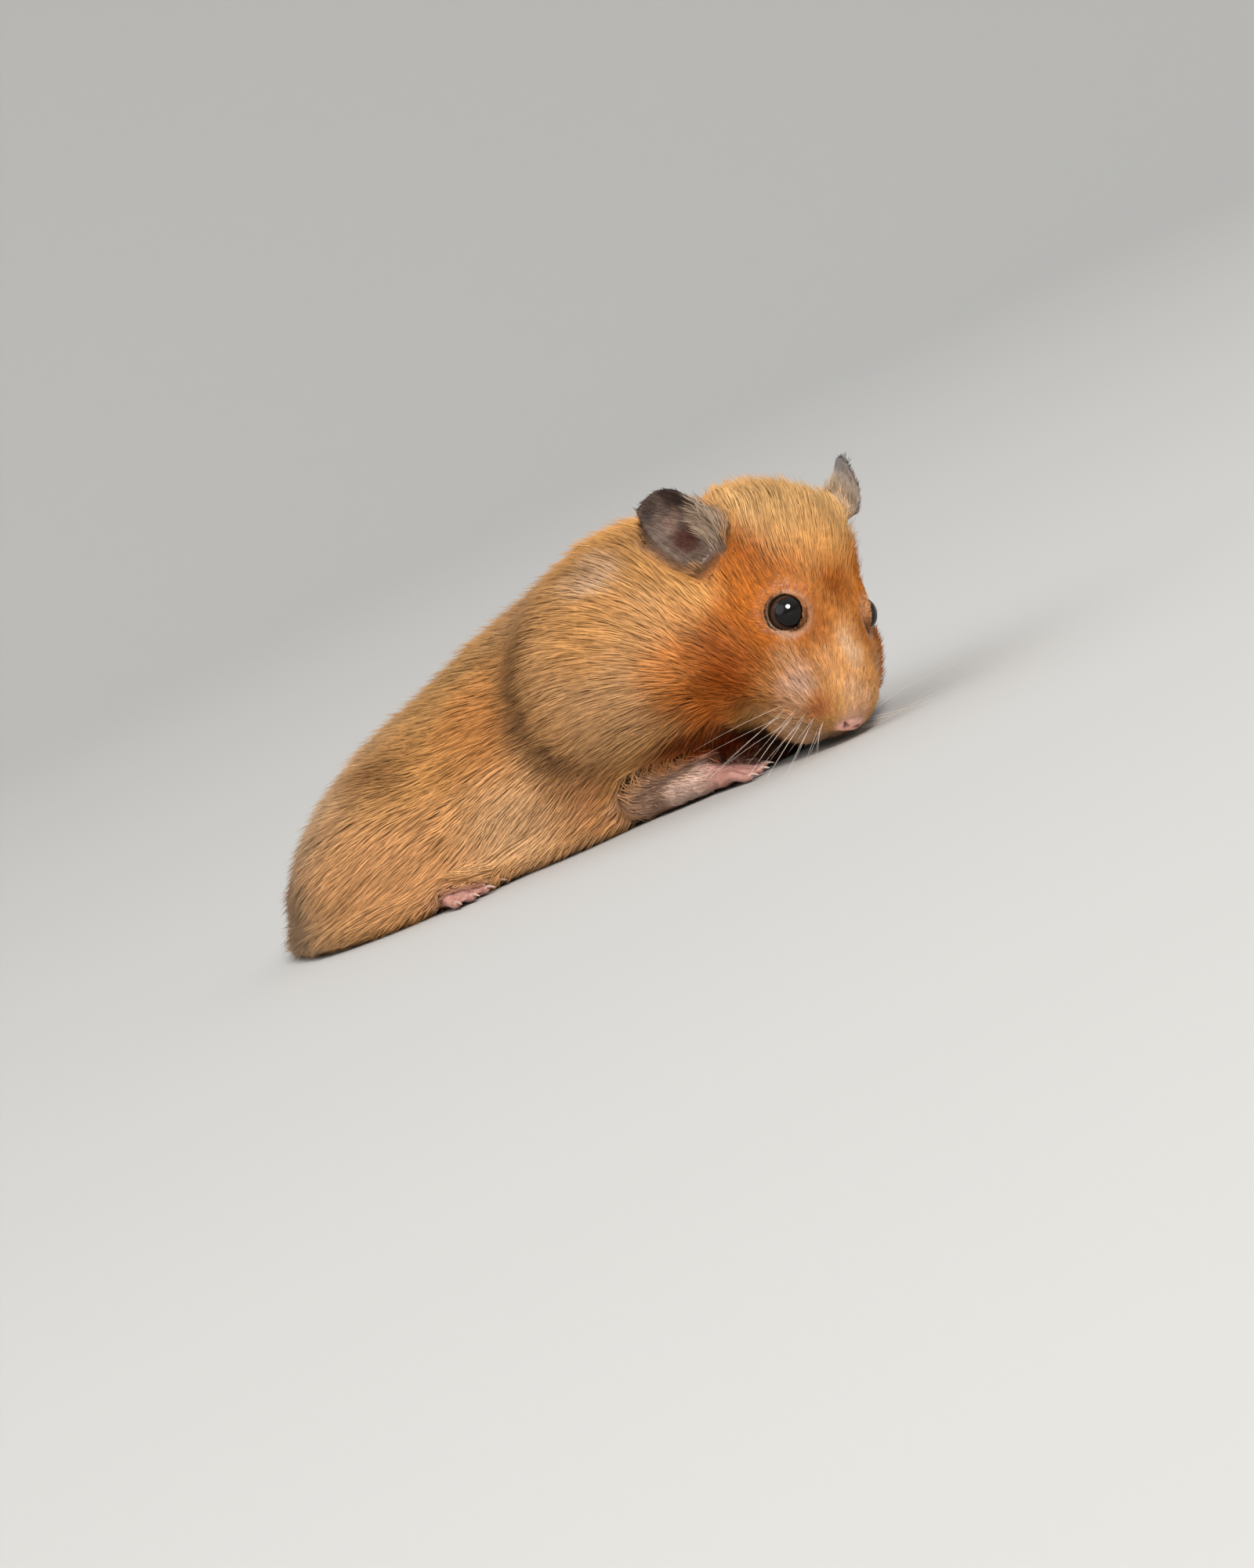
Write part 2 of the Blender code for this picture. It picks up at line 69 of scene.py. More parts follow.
# Each ear in the head's axes: the middle of its root, which way it runs and which way it opens, then
# its length, how deeply it is cupped, how far its tip bends over and how much its lower edge draws in
# towards the tip. The right one is laid back.
EARS = {
    "right": {
        "root": (-7.2, -14.8, 7.6),
        "along": (-0.95, -0.26, -0.19),
        "opens": (0.18, -0.92, 0.35),
        "length": 15.8,
        "cup": 3.4,
        "bend": -1.5,
        "drawn_in": 0.75,
    },
    "left": {
        "root": (-10.0, 12.2, 8.3),
        "along": (-0.33, 0.0, 0.94),
        "opens": (0.38, 0.92, 0.14),
        "length": 13.4,
        "cup": 2.9,
        "bend": 0.0,
        "drawn_in": 0.0,
    },
}
EAR_HALF_WIDTH = 5.9
# The middle and radii of each pouch, in the body's axes.
POUCHES = {"right": ((27, -15.5, 25), (19.5, 12.5, 18.5)), "left": ((34, 12, 24), (19.5, 12.5, 18))}


def middle_of(node):
    """The middle of a node's box, in millimetres."""
    low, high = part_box(node)
    return np.array((low + high) / 2) / MM


EYES = {side: middle_of("eye_" + side) for side in SIDES}
EYE_LOOKS = {side: HEAD_TURN @ (EYE_FACES * (1, sign, 1)) for side, sign in SIDES.items()}
HEAD_AT = (EYES["right"] + EYES["left"]) / 2 - HEAD_TURN @ (EYE_AT * (1, 0, 1))
BODY_AT = HEAD_AT - HEAD_IN_BODY


def to_head(points):
    return (points - HEAD_AT) @ HEAD_TURN


def from_head(point):
    return HEAD_AT + HEAD_TURN @ np.array(point, float)


def to_body(points):
    return points - BODY_AT


def near_eye(points):
    """How far each point is from the nearer eye's middle."""
    return np.min([np.linalg.norm(points - eye, axis=1) for eye in EYES.values()], axis=0)


def off_nose(head, radii):
    """How far out each place in the head's axes is from the nose pad's middle, in its radii."""
    return np.linalg.norm((head - NOSE_PAD) / radii, axis=1)


def smooth(low, high, value):
    """0 below low, 1 above high, and eased between them."""
    share = np.clip((value - low) / (high - low), 0, 1)
    return share * share * (3 - 2 * share)


def unit(vectors):
    """The vectors, each made one long."""
    return vectors / np.maximum(np.linalg.norm(vectors, axis=-1, keepdims=True), 1e-9)


def towards(values, share, goal):
    """Each row of the values, moved by its own share towards one goal or a row of goals."""
    share = share[:, None]
    return values * (1 - share) + np.array(goal) * share


# ---- meshes as arrays ----


def read(rows, key, width, kind=np.float32):
    """One property of all the rows of a mesh's data, as rows of so many numbers."""
    values = np.empty(len(rows) * width, kind)
    rows.foreach_get(key, values)
    return values.reshape(-1, width)


def triangles(mesh):
    """A mesh's points in millimetres, with those at one place made one, and its triangles."""
    mesh.calc_loop_triangles()
    points = read(mesh.vertices, "co", 3) / MM
    faces = read(mesh.loop_triangles, "vertices", 3, np.int32)
    _, first, index = np.unique(np.round(points, 4), axis=0, return_index=True, return_inverse=True)
    faces = index.reshape(-1)[faces]
    whole = (faces[:, 0] != faces[:, 1]) & (faces[:, 1] != faces[:, 2]) & (faces[:, 0] != faces[:, 2])
    return points[first].astype(float), faces[whole]


def corner_normals(points, faces):
    """The area-weighted normal at each point."""
    corners = points[faces]
    flat = np.cross(corners[:, 1] - corners[:, 0], corners[:, 2] - corners[:, 0])
    total = np.zeros_like(points)
    for k in range(3):
        for axis in range(3):
            total[:, axis] += np.bincount(faces[:, k], weights=flat[:, axis], minlength=len(points))
    return unit(total)


def mesh_of(name, points, faces):
    """A mesh from points in millimetres and faces that all have as many corners."""
    faces = np.asarray(faces)
    mesh = bpy.data.meshes.new(name)
    mesh.vertices.add(len(points))
    mesh.vertices.foreach_set("co", (np.asarray(points) * MM).astype(np.float32).ravel())
    mesh.loops.add(faces.size)
    mesh.loops.foreach_set("vertex_index", faces.ravel().astype(np.int32))
    mesh.polygons.add(len(faces))
    mesh.polygons.foreach_set("loop_start", np.arange(0, faces.size, faces.shape[1], dtype=np.int32))
    mesh.update(calc_edges=True)
    mesh.shade_smooth()
    return mesh


def ball(radius, rows, sides):
    """A closed ball about the origin, its poles on the Z axis."""
    points = [(0, 0, radius)]
    for row in range(1, rows):
        tilt = math.pi * row / rows
        for k in range(sides):
            turn = 2 * math.pi * k / sides
            ring = radius * math.sin(tilt)
            points.append((ring * math.cos(turn), ring * math.sin(turn), radius * math.cos(tilt)))
    points.append((0, 0, -radius))
    faces = []
    last = len(points) - 1
    for k in range(sides):
        n = (k + 1) % sides
        faces.append((0, 1 + k, 1 + n))
        faces.append((last, last - sides + n, last - sides + k))
        for row in range(rows - 2):
            a, b = 1 + row * sides + k, 1 + row * sides + n
            faces += [(a, a + sides, b + sides), (a, b + sides, b)]
    return np.array(points), np.array(faces)


def joined(rings, sides, first=0):
    """Triangles that join each ring of points to the next."""
    faces = []
    for ring in range(rings - 1):
        for k in range(sides):
            a, b = first + ring * sides + k, first + ring * sides + (k + 1) % sides
            faces += [(a, a + sides, b + sides), (a, b + sides, b)]
    return faces


def piece(name, mesh, material):
    """A visible piece of the model."""
    made = bpy.data.objects.new(name, mesh)
    bpy.context.scene.collection.objects.link(made)
    mesh.materials.append(material)
    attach(made, "root")
    return made


def paint(mesh, name, colours):
    """Stores a colour for each point of a mesh."""
    layer = mesh.color_attributes.new(name, "FLOAT_COLOR", "POINT")
    full = np.ones((len(colours), 4), np.float32)
    full[:, :3] = colours
    layer.data.foreach_set("color", full.ravel())


def evaluated(mesh, kind, weights=None, **settings):
    """The mesh after one modifier, which weights can hold back at each point."""
    thing = bpy.data.objects.new("work", mesh)
    bpy.context.scene.collection.objects.link(thing)
    modifier = thing.modifiers.new("work", kind)
    if weights is not None:
        group = thing.vertex_groups.new(name="fine")
        for level in range(11):
            members = np.flatnonzero(np.round(weights * 10).astype(int) == level)
            group.add(members.tolist(), level / 10, "REPLACE")
        modifier.vertex_group = "fine"
    for key, value in settings.items():
        setattr(modifier, key, value)
    graph = bpy.context.evaluated_depsgraph_get()
    done = bpy.data.meshes.new_from_object(thing.evaluated_get(graph))
    bpy.data.objects.remove(thing)
    return done


def edges_of(faces):
    """Every edge of the triangles once, as its two ends."""
    ends = np.concatenate([faces[:, [0, 1]], faces[:, [1, 2]], faces[:, [2, 0]]])
    return np.unique(np.sort(ends, axis=1), axis=0)


def largest(points, faces):
    """The biggest joined piece of a mesh."""
    label = np.arange(len(points))
    ends = edges_of(faces)
    while True:
        low = np.minimum(label[ends[:, 0]], label[ends[:, 1]])
        fresh = label.copy()
        np.minimum.at(fresh, ends[:, 0], low)
        np.minimum.at(fresh, ends[:, 1], low)
        fresh = fresh[fresh]
        if (fresh == label).all():
            break
        label = fresh
    names, count = np.unique(label, return_counts=True)
    keep = label == names[count.argmax()]
    number = np.cumsum(keep) - 1
    faces = faces[keep[faces].all(axis=1)]
    return points[keep], number[faces]


def closest(points, places):
    """The number of the point that is closest to each place."""
    lookup = KDTree(len(points))
    for index, point in enumerate(points.tolist()):
        lookup.insert(point, index)
    lookup.balance()
    return np.array([lookup.find(place)[1] for place in places.tolist()])


def relax(values, ends, rounds, share):
    """Moves each point's value towards its neighbours' mean, by its own share, many times."""
    count = np.bincount(ends.ravel(), minlength=len(values))[:, None]
    first, second = ends.T
    for _ in range(rounds):
        total = np.empty_like(values)
        for axis in range(values.shape[1]):
            column = values[:, axis]
            total[:, axis] = np.bincount(first, column[second], len(values))
            total[:, axis] += np.bincount(second, column[first], len(values))
        values = values + share * (total / count - values)
    return values


# ---- the skin ----

SEAM = 0.3  # how far the solids are grown, to close the cuts between them
VOXEL = 0.32  # how fine the skin is before it is thinned
SKIN_TRIANGLES = 190000
LID_GAP = 0.1  # between the eyeball and the skin round it
FLOOR_GAP = 0.05  # between the floor and the skin that rests on it
TOE_TIP = 1.1  # radius of the flesh round each claw's root, before the coat's depth is taken off
TRUNK, HEAD, EAR, FORELEG, FOREPAW, HINDFOOT, TAIL = range(7)
KINDS = ("trunk", "head", "ear", "foreleg", "forepaw", "hindfoot", "tail")
# How deep the coat is over each kind of flesh but the head.
DEPTHS = {TRUNK: 2.9, EAR: 0.12, FORELEG: 0.8, FOREPAW: 0.3, HINDFOOT: 0.12, TAIL: 0.5}
# The section of an eyelid: each corner's degrees off the eye's facing and distance from its middle.
LID_SECTION = ((53, 3.14), (55, 3.30), (62, 3.42), (82, 3.48), (100, 3.1))


def kind_of(node):
    """Which kind of flesh a node is: its number in KINDS. Neck, pouches and thighs go with the trunk."""
    for number, kind in enumerate(KINDS):
        if node.startswith(kind):
            return number
    return TRUNK


def lid(side):
    """The eyelids as a closed ring round the eyeball: an upper and a lower one, in one turn."""
    centre = EYES[side]
    facing = unit(EYE_LOOKS[side])
    forward = unit(HEAD_TURN @ (1, 0, -0.25))
    forward = unit(forward - facing * (forward @ facing))
    up = np.cross(facing, forward)
    steps = 64
    turn = np.arange(steps) * 2 * math.pi / steps
    # The rim runs out to a corner in front and behind, and comes in above and below.
    corner = 4.0 * np.abs(np.cos(turn)) ** 6 - 1.5 * np.abs(np.sin(turn)) ** 2
    across = np.cos(turn)[:, None] * forward + np.sin(turn)[:, None] * up
    rings = []
    for degrees, away in LID_SECTION:
        angle = np.radians(degrees + corner * (degrees < 80))[:, None]
        rings.append(centre + away * (np.cos(angle) * facing + np.sin(angle) * across))
    points = np.concatenate(rings)
    faces = []
    rows = len(LID_SECTION)
    for row in range(rows):
        for k in range(steps):
            n, below = (k + 1) % steps, (row + 1) % rows
            a, b, c, d = row * steps + k, row * steps + n, below * steps + n, below * steps + k
            faces += [(a, b, c), (a, c, d)]
    return points, np.array(faces)


def coat_depth(points, weight):
    """How far the skin lies inside the solids' surface."""
    ahead = np.linalg.norm(to_head(points) - NOSE_TIP, axis=1)
    # Over the head it deepens from the nose to the nape.
    on_head = 0.05 + 0.55 * smooth(2, 8, ahead) + 0.7 * smooth(8, 22, ahead) + 1.2 * smooth(22, 38, ahead)
    depth = weight[:, HEAD] * on_head
    for kind, deep in DEPTHS.items():
        depth = depth + weight[:, kind] * deep
    for eye in EYES.values():
        depth *= 0.06 + 0.94 * smooth(3.8, 9.0, np.linalg.norm(points - eye, axis=1))
    # It is pressed thin where the animal lies on it.
    return depth * (0.35 + 0.65 * smooth(0, 6, to_body(points)[:, 2]))


def nose_and_mouth(points, normals):
    """Presses in the nostrils, the groove under the nose and the edge of the nose pad."""
    head = to_head(points)
    x, y, z = head.T
    aside = np.abs(y)
    press = np.zeros(len(points))
    # A nostril is a short comma: a slit that runs back and out from beside the groove.
    along = np.clip((aside - 0.75) / 0.9, 0, 1)
    slit = np.hypot((aside - 0.75 - along * 0.9) / 0.34, (z + 5.9 - 0.75 * along) / 0.34)
    press += 0.95 * (1 - smooth(0.3, 1.15, slit)) * smooth(20.2, 21.2, x)
    groove = (1 - smooth(0.1, 0.42, aside)) * smooth(17.5, 19, x) * (1 - smooth(-7.2, -6.2, z))
    press += 0.5 * groove
    edge = np.hypot((x - 22.0) / 3.0, np.hypot(y / 2.5, (z + 5.5) / 2.1))
    press += 0.14 * np.exp(-((edge - 0.95) / 0.12) ** 2)
    return points - normals * press[:, None]


def toe_tip(claw):
    """A ball over a claw's root, so that the skin of the toe closes round it."""
    points, _ = triangles(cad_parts[claw].data)
    foot = middle_of(claw[len("claw_") : -len("_1")])
    ahead = unit((points.mean(axis=0) - foot) * (1, 1, 0))
    rearmost = np.argsort(points @ ahead)[: len(points) // 3]
    middle = points[rearmost].mean(axis=0) - 0.15 * ahead - (0, 0, 0.2)
    shape, corners = ball(TOE_TIP, 10, 14)
    return middle + shape, corners


def build_skin():
    """The skin's points, triangles and weights of each kind of flesh, and the nodes it stands for."""
    parts, faces, kinds, grown = [], [], [], []
    start = 0
    flesh = [node for node in sorted(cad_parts) if not node.startswith(("eye", "claw"))]
    for node in flesh:
        points, corners = triangles(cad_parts[node].data)
        parts.append(points)
        grown.append(points + SEAM * corner_normals(points, corners))
        faces.append(corners + start)
        kinds.append(np.full(len(corners), kind_of(node)))
        start += len(points)
    kinds = np.concatenate(kinds)
    solid = BVHTree.FromPolygons(np.concatenate(parts).tolist(), np.concatenate(faces).tolist())
    claw_nodes = [node for node in sorted(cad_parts) if node.startswith("claw")]
    for points, corners in [lid(side) for side in SIDES] + [toe_tip(claw) for claw in claw_nodes]:
        grown.append(points)
        faces.append(corners + start)
        start += len(points)
    closed = mesh_of("closed", np.concatenate(grown), np.concatenate(faces))
    closed = evaluated(closed, "REMESH", mode="VOXEL", voxel_size=VOXEL * MM, adaptivity=0)
    points, corners = triangles(closed)
    points, corners = largest(points, corners)
    ends = edges_of(corners)

    weight = np.zeros((len(points), len(KINDS)))
    hits = [solid.find_nearest(p)[2] for p in points.tolist()]
    weight[np.arange(len(points)), kinds[hits]] = 1
    weight = relax(weight, ends, 12, 0.6)
    ahead = np.linalg.norm(to_head(points) - NOSE_TIP, axis=1)
    # Ears, feet, tail, lids and nose are fine: they are smoothed and thinned less.
    fine = np.maximum(weight[:, EAR], weight[:, FOREPAW : TAIL + 1].sum(axis=1))
    fine = np.maximum(fine, 1 - smooth(3.7, 5.2, near_eye(points)))
    fine = np.maximum(fine, 0.85 * (1 - smooth(3, 7, ahead)))
    points = relax(points, ends, 24, (0.55 * (1 - 0.93 * fine))[:, None])
    normals = unit(relax(corner_normals(points, corners), ends, 8, 0.5))
    depth = coat_depth(points, weight) + SEAM
    points = points - normals * depth[:, None]
    points = relax(points, ends, 14, (0.5 * (1 - 0.96 * fine))[:, None])
    for eye in EYES.values():
        off = points - eye
        away = np.linalg.norm(off, axis=1)
        near = away < EYE_RADIUS + LID_GAP
        points[near] = eye + off[near] / away[near, None] * (EYE_RADIUS + LID_GAP)
    points = nose_and_mouth(points, corner_normals(points, corners))
    points[:, 2] = np.maximum(points[:, 2], FLOOR_GAP)

    thinned = evaluated(
        mesh_of("skin", points, corners),
        "DECIMATE",
        weights=1 - 0.9 * fine,
        ratio=min(1.0, SKIN_TRIANGLES / len(corners)),
        vertex_group_factor=4.0,
    )
    fewer, corners = triangles(thinned)
    return fewer, corners, weight[closest(points, fewer)], flesh


# ---- what the coat needs to know about a place on the skin ----


class Surface:
    """A surface of triangles, with lookups for the places on it."""

    def __init__(self, points, faces, weight=None):
        self.points, self.faces, self.weight = points, faces, weight
        self.normals = corner_normals(points, faces)
        self.tree = BVHTree.FromPolygons(points.tolist(), faces.tolist())

    def nearest(self, places):
        """The closest places on the surface, as triangle numbers and shares of their corners."""
        hits = [self.tree.find_nearest(p) for p in places.tolist()]
        index = np.array([hit[2] for hit in hits])
        spot = np.array([tuple(hit[0]) for hit in hits])
        return index, shares_in(self.points[self.faces[index]], spot)

    def blend(self, values, index, shares):
        """The values of the surface's points, mixed at places on its triangles."""
        return (values[self.faces[index]] * shares[..., None]).sum(axis=1)


def shares_in(corners, spots):
    """Each spot's shares of its triangle's three corners."""
    first, second = corners[:, 1] - corners[:, 0], corners[:, 2] - corners[:, 0]
    off = spots - corners[:, 0]
    a, b, c = (first * first).sum(1), (first * second).sum(1), (second * second).sum(1)
    d, e = (off * first).sum(1), (off * second).sum(1)
    under = np.maximum(a * c - b * b, 1e-12)
    v, w = (c * d - b * e) / under, (a * e - b * d) / under
    shares = np.clip(np.stack([1 - v - w, v, w], axis=1), 0, 1)
    return shares / shares.sum(axis=1, keepdims=True)


def lie(points, weight):
    """Which way the coat lies: away from the nose over the head and pouches, then back along the body."""
    body, head = to_body(points), to_head(points)
    away = unit(points - from_head(NOSE_TIP - (0, 0, 3.0)))
    low = (1 - smooth(6, 20, body[:, 2])) * (1 - smooth(45, 60, body[:, 0]))
    away = away - np.array((0, 0, 0.75)) * low[:, None]
    back = np.tile((-1.0, 0.0, 0.0), (len(points), 1))
    back[:, 2] = -0.16 - 0.3 * smooth(8, 22, np.abs(body[:, 1]))
    ahead = smooth(-10, 55, body[:, 0])[:, None]
    flow = away * ahead + unit(back) * (1 - ahead)
    # It levels out above the floor.
    flow[:, 2] *= 0.1 + 0.9 * smooth(0.5, 6, body[:, 2])
    for side, eye in EYES.items():
        off = points - eye
        far = np.linalg.norm(off, axis=1, keepdims=True)
        # It parts behind each eye, and runs up to its lids in front.
        rear = smooth(-0.6, 0.3, (unit(off) * unit(flow)).sum(axis=1, keepdims=True))
        flow = flow + (0.3 + 1.3 * rear) * off / far * np.exp(-((far - EYE_RADIUS) / 2.2) ** 2)
        along = HEAD_TURN @ unit(np.array(EARS[side]["along"]))
        out = HEAD_TURN @ EARS[side]["opens"]
        limb = unit(middle_of("forepaw_" + side) - middle_of("foreleg_" + side))
        of_head = np.sign(head[:, 1]) == SIDES[side]
        of_body = np.sign(body[:, 1]) == SIDES[side]
        flow = towards(flow, weight[:, EAR] * of_head, along)
        flow = towards(flow, ear_fringe(points) * of_head, 0.87 * along + 0.5 * np.cross(along, out))
        flow = towards(flow, (weight[:, FORELEG] + weight[:, FOREPAW]) * of_body, limb)
        flow = towards(flow, weight[:, HINDFOOT] * of_body, (0.93, 0.37 * SIDES[side], 0))
    return unit(flow)


# ---- markings ----

GOLD = (0.58, 0.28, 0.09)
BLACK_LID = (0.018, 0.012, 0.01)
EYE_RIM = (0.56, 0.37, 0.25)
# Sooty fur with painted shade, for the crease behind each pouch.
SOOT_AND_SHADE = (0.16, 0.075, 0.03)
FRINGE = (0.33, 0.235, 0.165)
FORELEG_HAIR = (0.42, 0.25, 0.17)
WRIST_HAIR = (0.66, 0.45, 0.36)
BARE_FOOT = (0.53, 0.265, 0.215)
NOSE_PINK = (0.95, 0.50, 0.41)
# Painted shade inside the nostrils.
NOSTRIL_SHADE = (0.12, 0.03, 0.03)
EAR_SKIN = (0.15, 0.100, 0.078)
# How far the markings' edges wander, over what length, and a seed, in each set of axes.
WANDER = {"body": (3.5, 7.0, 11), "head": (1.0, 3.0, 21)}
# Each marking: what it is, its middle, its radii, how soft its edge is, its colour and how strong it is. A
# marking off the midline is mirrored. A later one lies over an earlier. Some are painted shade or painted
# light, as their names or the comments above them say.
MARKINGS = {
    "body": (
        ("browner back", (-15, 0, 36), (60, 24, 12), 0.8, (0.30, 0.165, 0.066), 0.8),
        ("greyer rump", (-48, 0, 14), (34, 50, 36), 0.6, (0.38, 0.245, 0.145), 0.9),
        ("sooty end of the rump", (-54, 14, 8), (17, 24, 22), 0.7, (0.20, 0.12, 0.068), 0.9),
        # Brownish fur with the painted shade of a fold on the loin.
        ("painted fold shade on the loin", (-22, 18, 26), (13, 8, 8), 0.95, (0.17, 0.075, 0.024), 0.8),
        ("golden flank", (-20, 28, 8), (24, 12, 12), 0.8, (0.69, 0.34, 0.142), 0.85),
        ("pale side of the chest", (3.5, 25, 10), (11.5, 11, 12), 0.8, (0.77, 0.44, 0.215), 0.95),
        ("rusty shoulder", (0, 20, 26), (12, 10, 14), 0.9, (0.52, 0.20, 0.055), 0.75),
        ("pale belly", (0, 0, -2), (75, 26, 8), 0.6, (0.62, 0.44, 0.31), 0.9),
        ("sandy pouch", (27, 26, 24), (22, 13, 19), 0.8, (0.58, 0.32, 0.15), 0.85),
        ("golden top of the pouch", (30, 26, 33), (14, 10, 9), 0.9, (0.57, 0.265, 0.075), 0.6),
        ("brown side of the nape", (30, 18, 44), (14, 13, 7), 0.9, (0.28, 0.14, 0.05), 0.85),
        ("brown behind the nape", (12, 14, 40), (12, 16, 10), 0.9, (0.31, 0.17, 0.082), 0.85),
        ("pale streak behind the ear", (30, 20, 41), (6.5, 7, 3.5), 0.9, (0.53, 0.34, 0.21), 0.85),
        # Painted shade on the chest below the rear of the pouch.
        ("painted shade below the rear of the pouch", (12.5, 22, 8), (9, 8, 8), 0.9, (0.43, 0.185, 0.075), 0.85),
        ("rust above the elbow", (31, 17, 8), (8, 9, 5), 0.8, (0.16, 0.03, 0.004), 0.9),
        # Painted shade on the throat, where it shows in the gap under the head.
        ("painted shade on the throat", (40, 0, 4), (16, 16, 12), 0.7, (0.08, 0.022, 0.006), 0.95),
    ),
    "head": (
        ("orange face", (4, 10, 3), (17, 15, 15), 0.7, (0.47, 0.13, 0.012), 0.97),
        ("rust at the jaw", (4, 19, -12), (9, 9, 9), 0.9, (0.35, 0.095, 0.012), 0.9),
        ("golden front of the pouch", (3, 22, -9), (6, 7, 6), 0.9, (0.76, 0.29, 0.075), 0.8),
        ("golden below the ear", (-4, 19, 3), (6, 5, 6), 0.9, (0.66, 0.34, 0.11), 0.8),
        ("sandy crown", (-10, 8, 17.5), (13, 16, 7.2), 0.8, (0.55, 0.315, 0.125), 0.95),
        ("bright middle of the brow", (2.5, 0, 15.5), (5, 7, 4), 0.9, (0.74, 0.36, 0.11), 0.8),
        ("deep orange before the ear", (-3, 13.5, 10), (6, 5, 5), 0.9, (0.36, 0.09, 0.006), 0.9),
        ("deep orange between the eyes", (7.1, 0, 11.9), (7, 4, 5), 0.9, (0.34, 0.075, 0.004), 0.85),
        ("rusty cheek", (8.0, 16, -6.0), (9.5, 9, 9.5), 0.95, (0.25, 0.046, 0.001), 0.95),
        # Painted light: the low cheek is made brighter against the shade under the cheek's overhang.
        ("painted light on the low cheek", (8.8, 15, -14.5), (6, 6, 6), 0.9, (0.66, 0.165, 0.018), 0.75),
        ("paler below the eye", (13.2, 10, 1.0), (3.6, 3.4, 3.4), 0.9, (0.50, 0.26, 0.12), 0.85),
        ("golden side of the bridge", (18, 3, 3), (6.5, 4.5, 4.5), 0.9, (0.60, 0.27, 0.09), 0.85),
        ("rust before the eye", (12.3, 4.4, 5.8), (4.0, 2.4, 3.4), 0.9, (0.38, 0.11, 0.018), 0.8),
        # Pale fur with a painted highlight along the bridge of the nose.
        ("pale fur and painted highlight on the bridge", (16.5, 0, 5.2), (6, 2.6, 3.8), 0.9, (0.68, 0.41, 0.23), 0.95),
        ("golden behind the pad", (14.8, 11.5, -4.4), (4.5, 3.5, 4.5), 0.9, (0.54, 0.23, 0.075), 0.8),
        ("pinkish above the pad", (16.8, 8.9, -1.8), (4.0, 3.5, 4.0), 0.9, (0.60, 0.365, 0.255), 0.95),
        ("whisker pad", (17.6, 8.2, -6.2), (4.4, 3.8, 3.0), 0.9, (0.52, 0.27, 0.15), 0.8),
        ("rusty side of the nose", (20.6, 6.4, -4.0), (2.6, 2.0, 3.4), 0.9, (0.46, 0.15, 0.05), 0.85),
        ("pale top of the nose", (22, 1, 0), (3.6, 3.4, 3.0), 0.9, (0.64, 0.35, 0.19), 0.85),
        ("pink above the nostrils", (22.6, 0, -3.6), (3.0, 3.4, 2.8), 0.9, (0.72, 0.41, 0.30), 0.9),
        ("pale chin", (16.5, 4, -10.5), (8, 7, 4.5), 0.8, (0.60, 0.36, 0.22), 0.9),
        # Painted shade under the jaw.
        ("painted shade under the jaw", (6, 6, -21), (10, 14, 6), 0.9, (0.13, 0.016, 0.001), 0.95),
        ("shade under the chin", (10, 3, -17.6), (6, 8.5, 4.6), 0.7, (0.03, 0.012, 0.008), 0.97),
    ),
}
# Each ear's markings: what it is, its middle and radii along and across the ear, its colour and how strong it
# is. Some are painted shade or painted light, as their names or the comments above them say.
EAR_MARKINGS = {
    "right": (
        ("lower half", (7.0, -3.0), (5.5, 2.8), (0.185, 0.130, 0.102), 0.8),
        # Painted light on a fold of the ear.
        ("painted light on the fold", (8.4, 1.4), (1.6, 3.0), (0.25, 0.150, 0.115), 0.7),
        ("shade under the upper edge", (10.0, 4.7), (6.4, 2.6), (0.042, 0.026, 0.021), 0.95),
        ("dark tip", (13.8, 0.8), (2.4, 3.6), (0.055, 0.035, 0.028), 0.85),
        # Painted shade in the deep hollow of the ear.
        ("painted shade in the deep hollow", (4.4, -0.6), (4.0, 3.1), (0.065, 0.020, 0.013), 0.97),
        ("root", (0.4, -2.6), (2.6, 3.4), (0.13, 0.08, 0.055), 0.85),
    ),
    "left": (
        ("cream root", (1.0, 0), (7, 8), (0.86, 0.60, 0.37), 0.95),
        ("grey middle", (7.5, 0), (5, 8), (0.70, 0.58, 0.46), 0.85),
        ("dark tip", (13.2, 0), (3.2, 6), (0.17, 0.15, 0.135), 0.9),
    ),
}


def off_gaze(points):
    """Degrees off the way the nearer eye faces, growing fast away from that eye."""
    reaches = []
    for side, eye in EYES.items():
        off = points - eye
        gap = np.linalg.norm(off, axis=1)
        cosine = (off @ unit(EYE_LOOKS[side])) / np.maximum(gap, 0.01)
        reaches.append(np.degrees(np.arccos(np.clip(cosine, -1, 1))) + 60 * np.maximum(gap - 3.9, 0))
    return np.min(reaches, axis=0)


def ear_place(points, side):
    """Where each point is on an ear: how far along it, how far across it in millimetres and as a share
    of its half-width there, how far above its cupped face, and whether it is on that side at all."""
    ear = EARS[side]
    along = unit(np.array(ear["along"]))
    out = np.array(ear["opens"])
    out = unit(out - along * (out @ along))
    off = to_head(points) - ear["root"]
    near = np.sign(off[:, 1] + ear["root"][1]) == SIDES[side]
    reach, aside = off @ along, off @ np.cross(along, out)
    height = np.clip(reach / ear["length"], 0, 1)
    narrow = 1 - 0.12 * (1 - height) ** 2
    narrow = np.where(aside < 0, narrow * (1 - ear["drawn_in"] * height), narrow)
    across = aside / (EAR_HALF_WIDTH * narrow)
    hollow = ear["cup"] * np.sin(math.pi * (0.15 + 0.7 * height)) * (across**2 - 0.12) * narrow
    above = off @ out - hollow - ear["bend"] * height**2
    return reach, aside, across, above, near


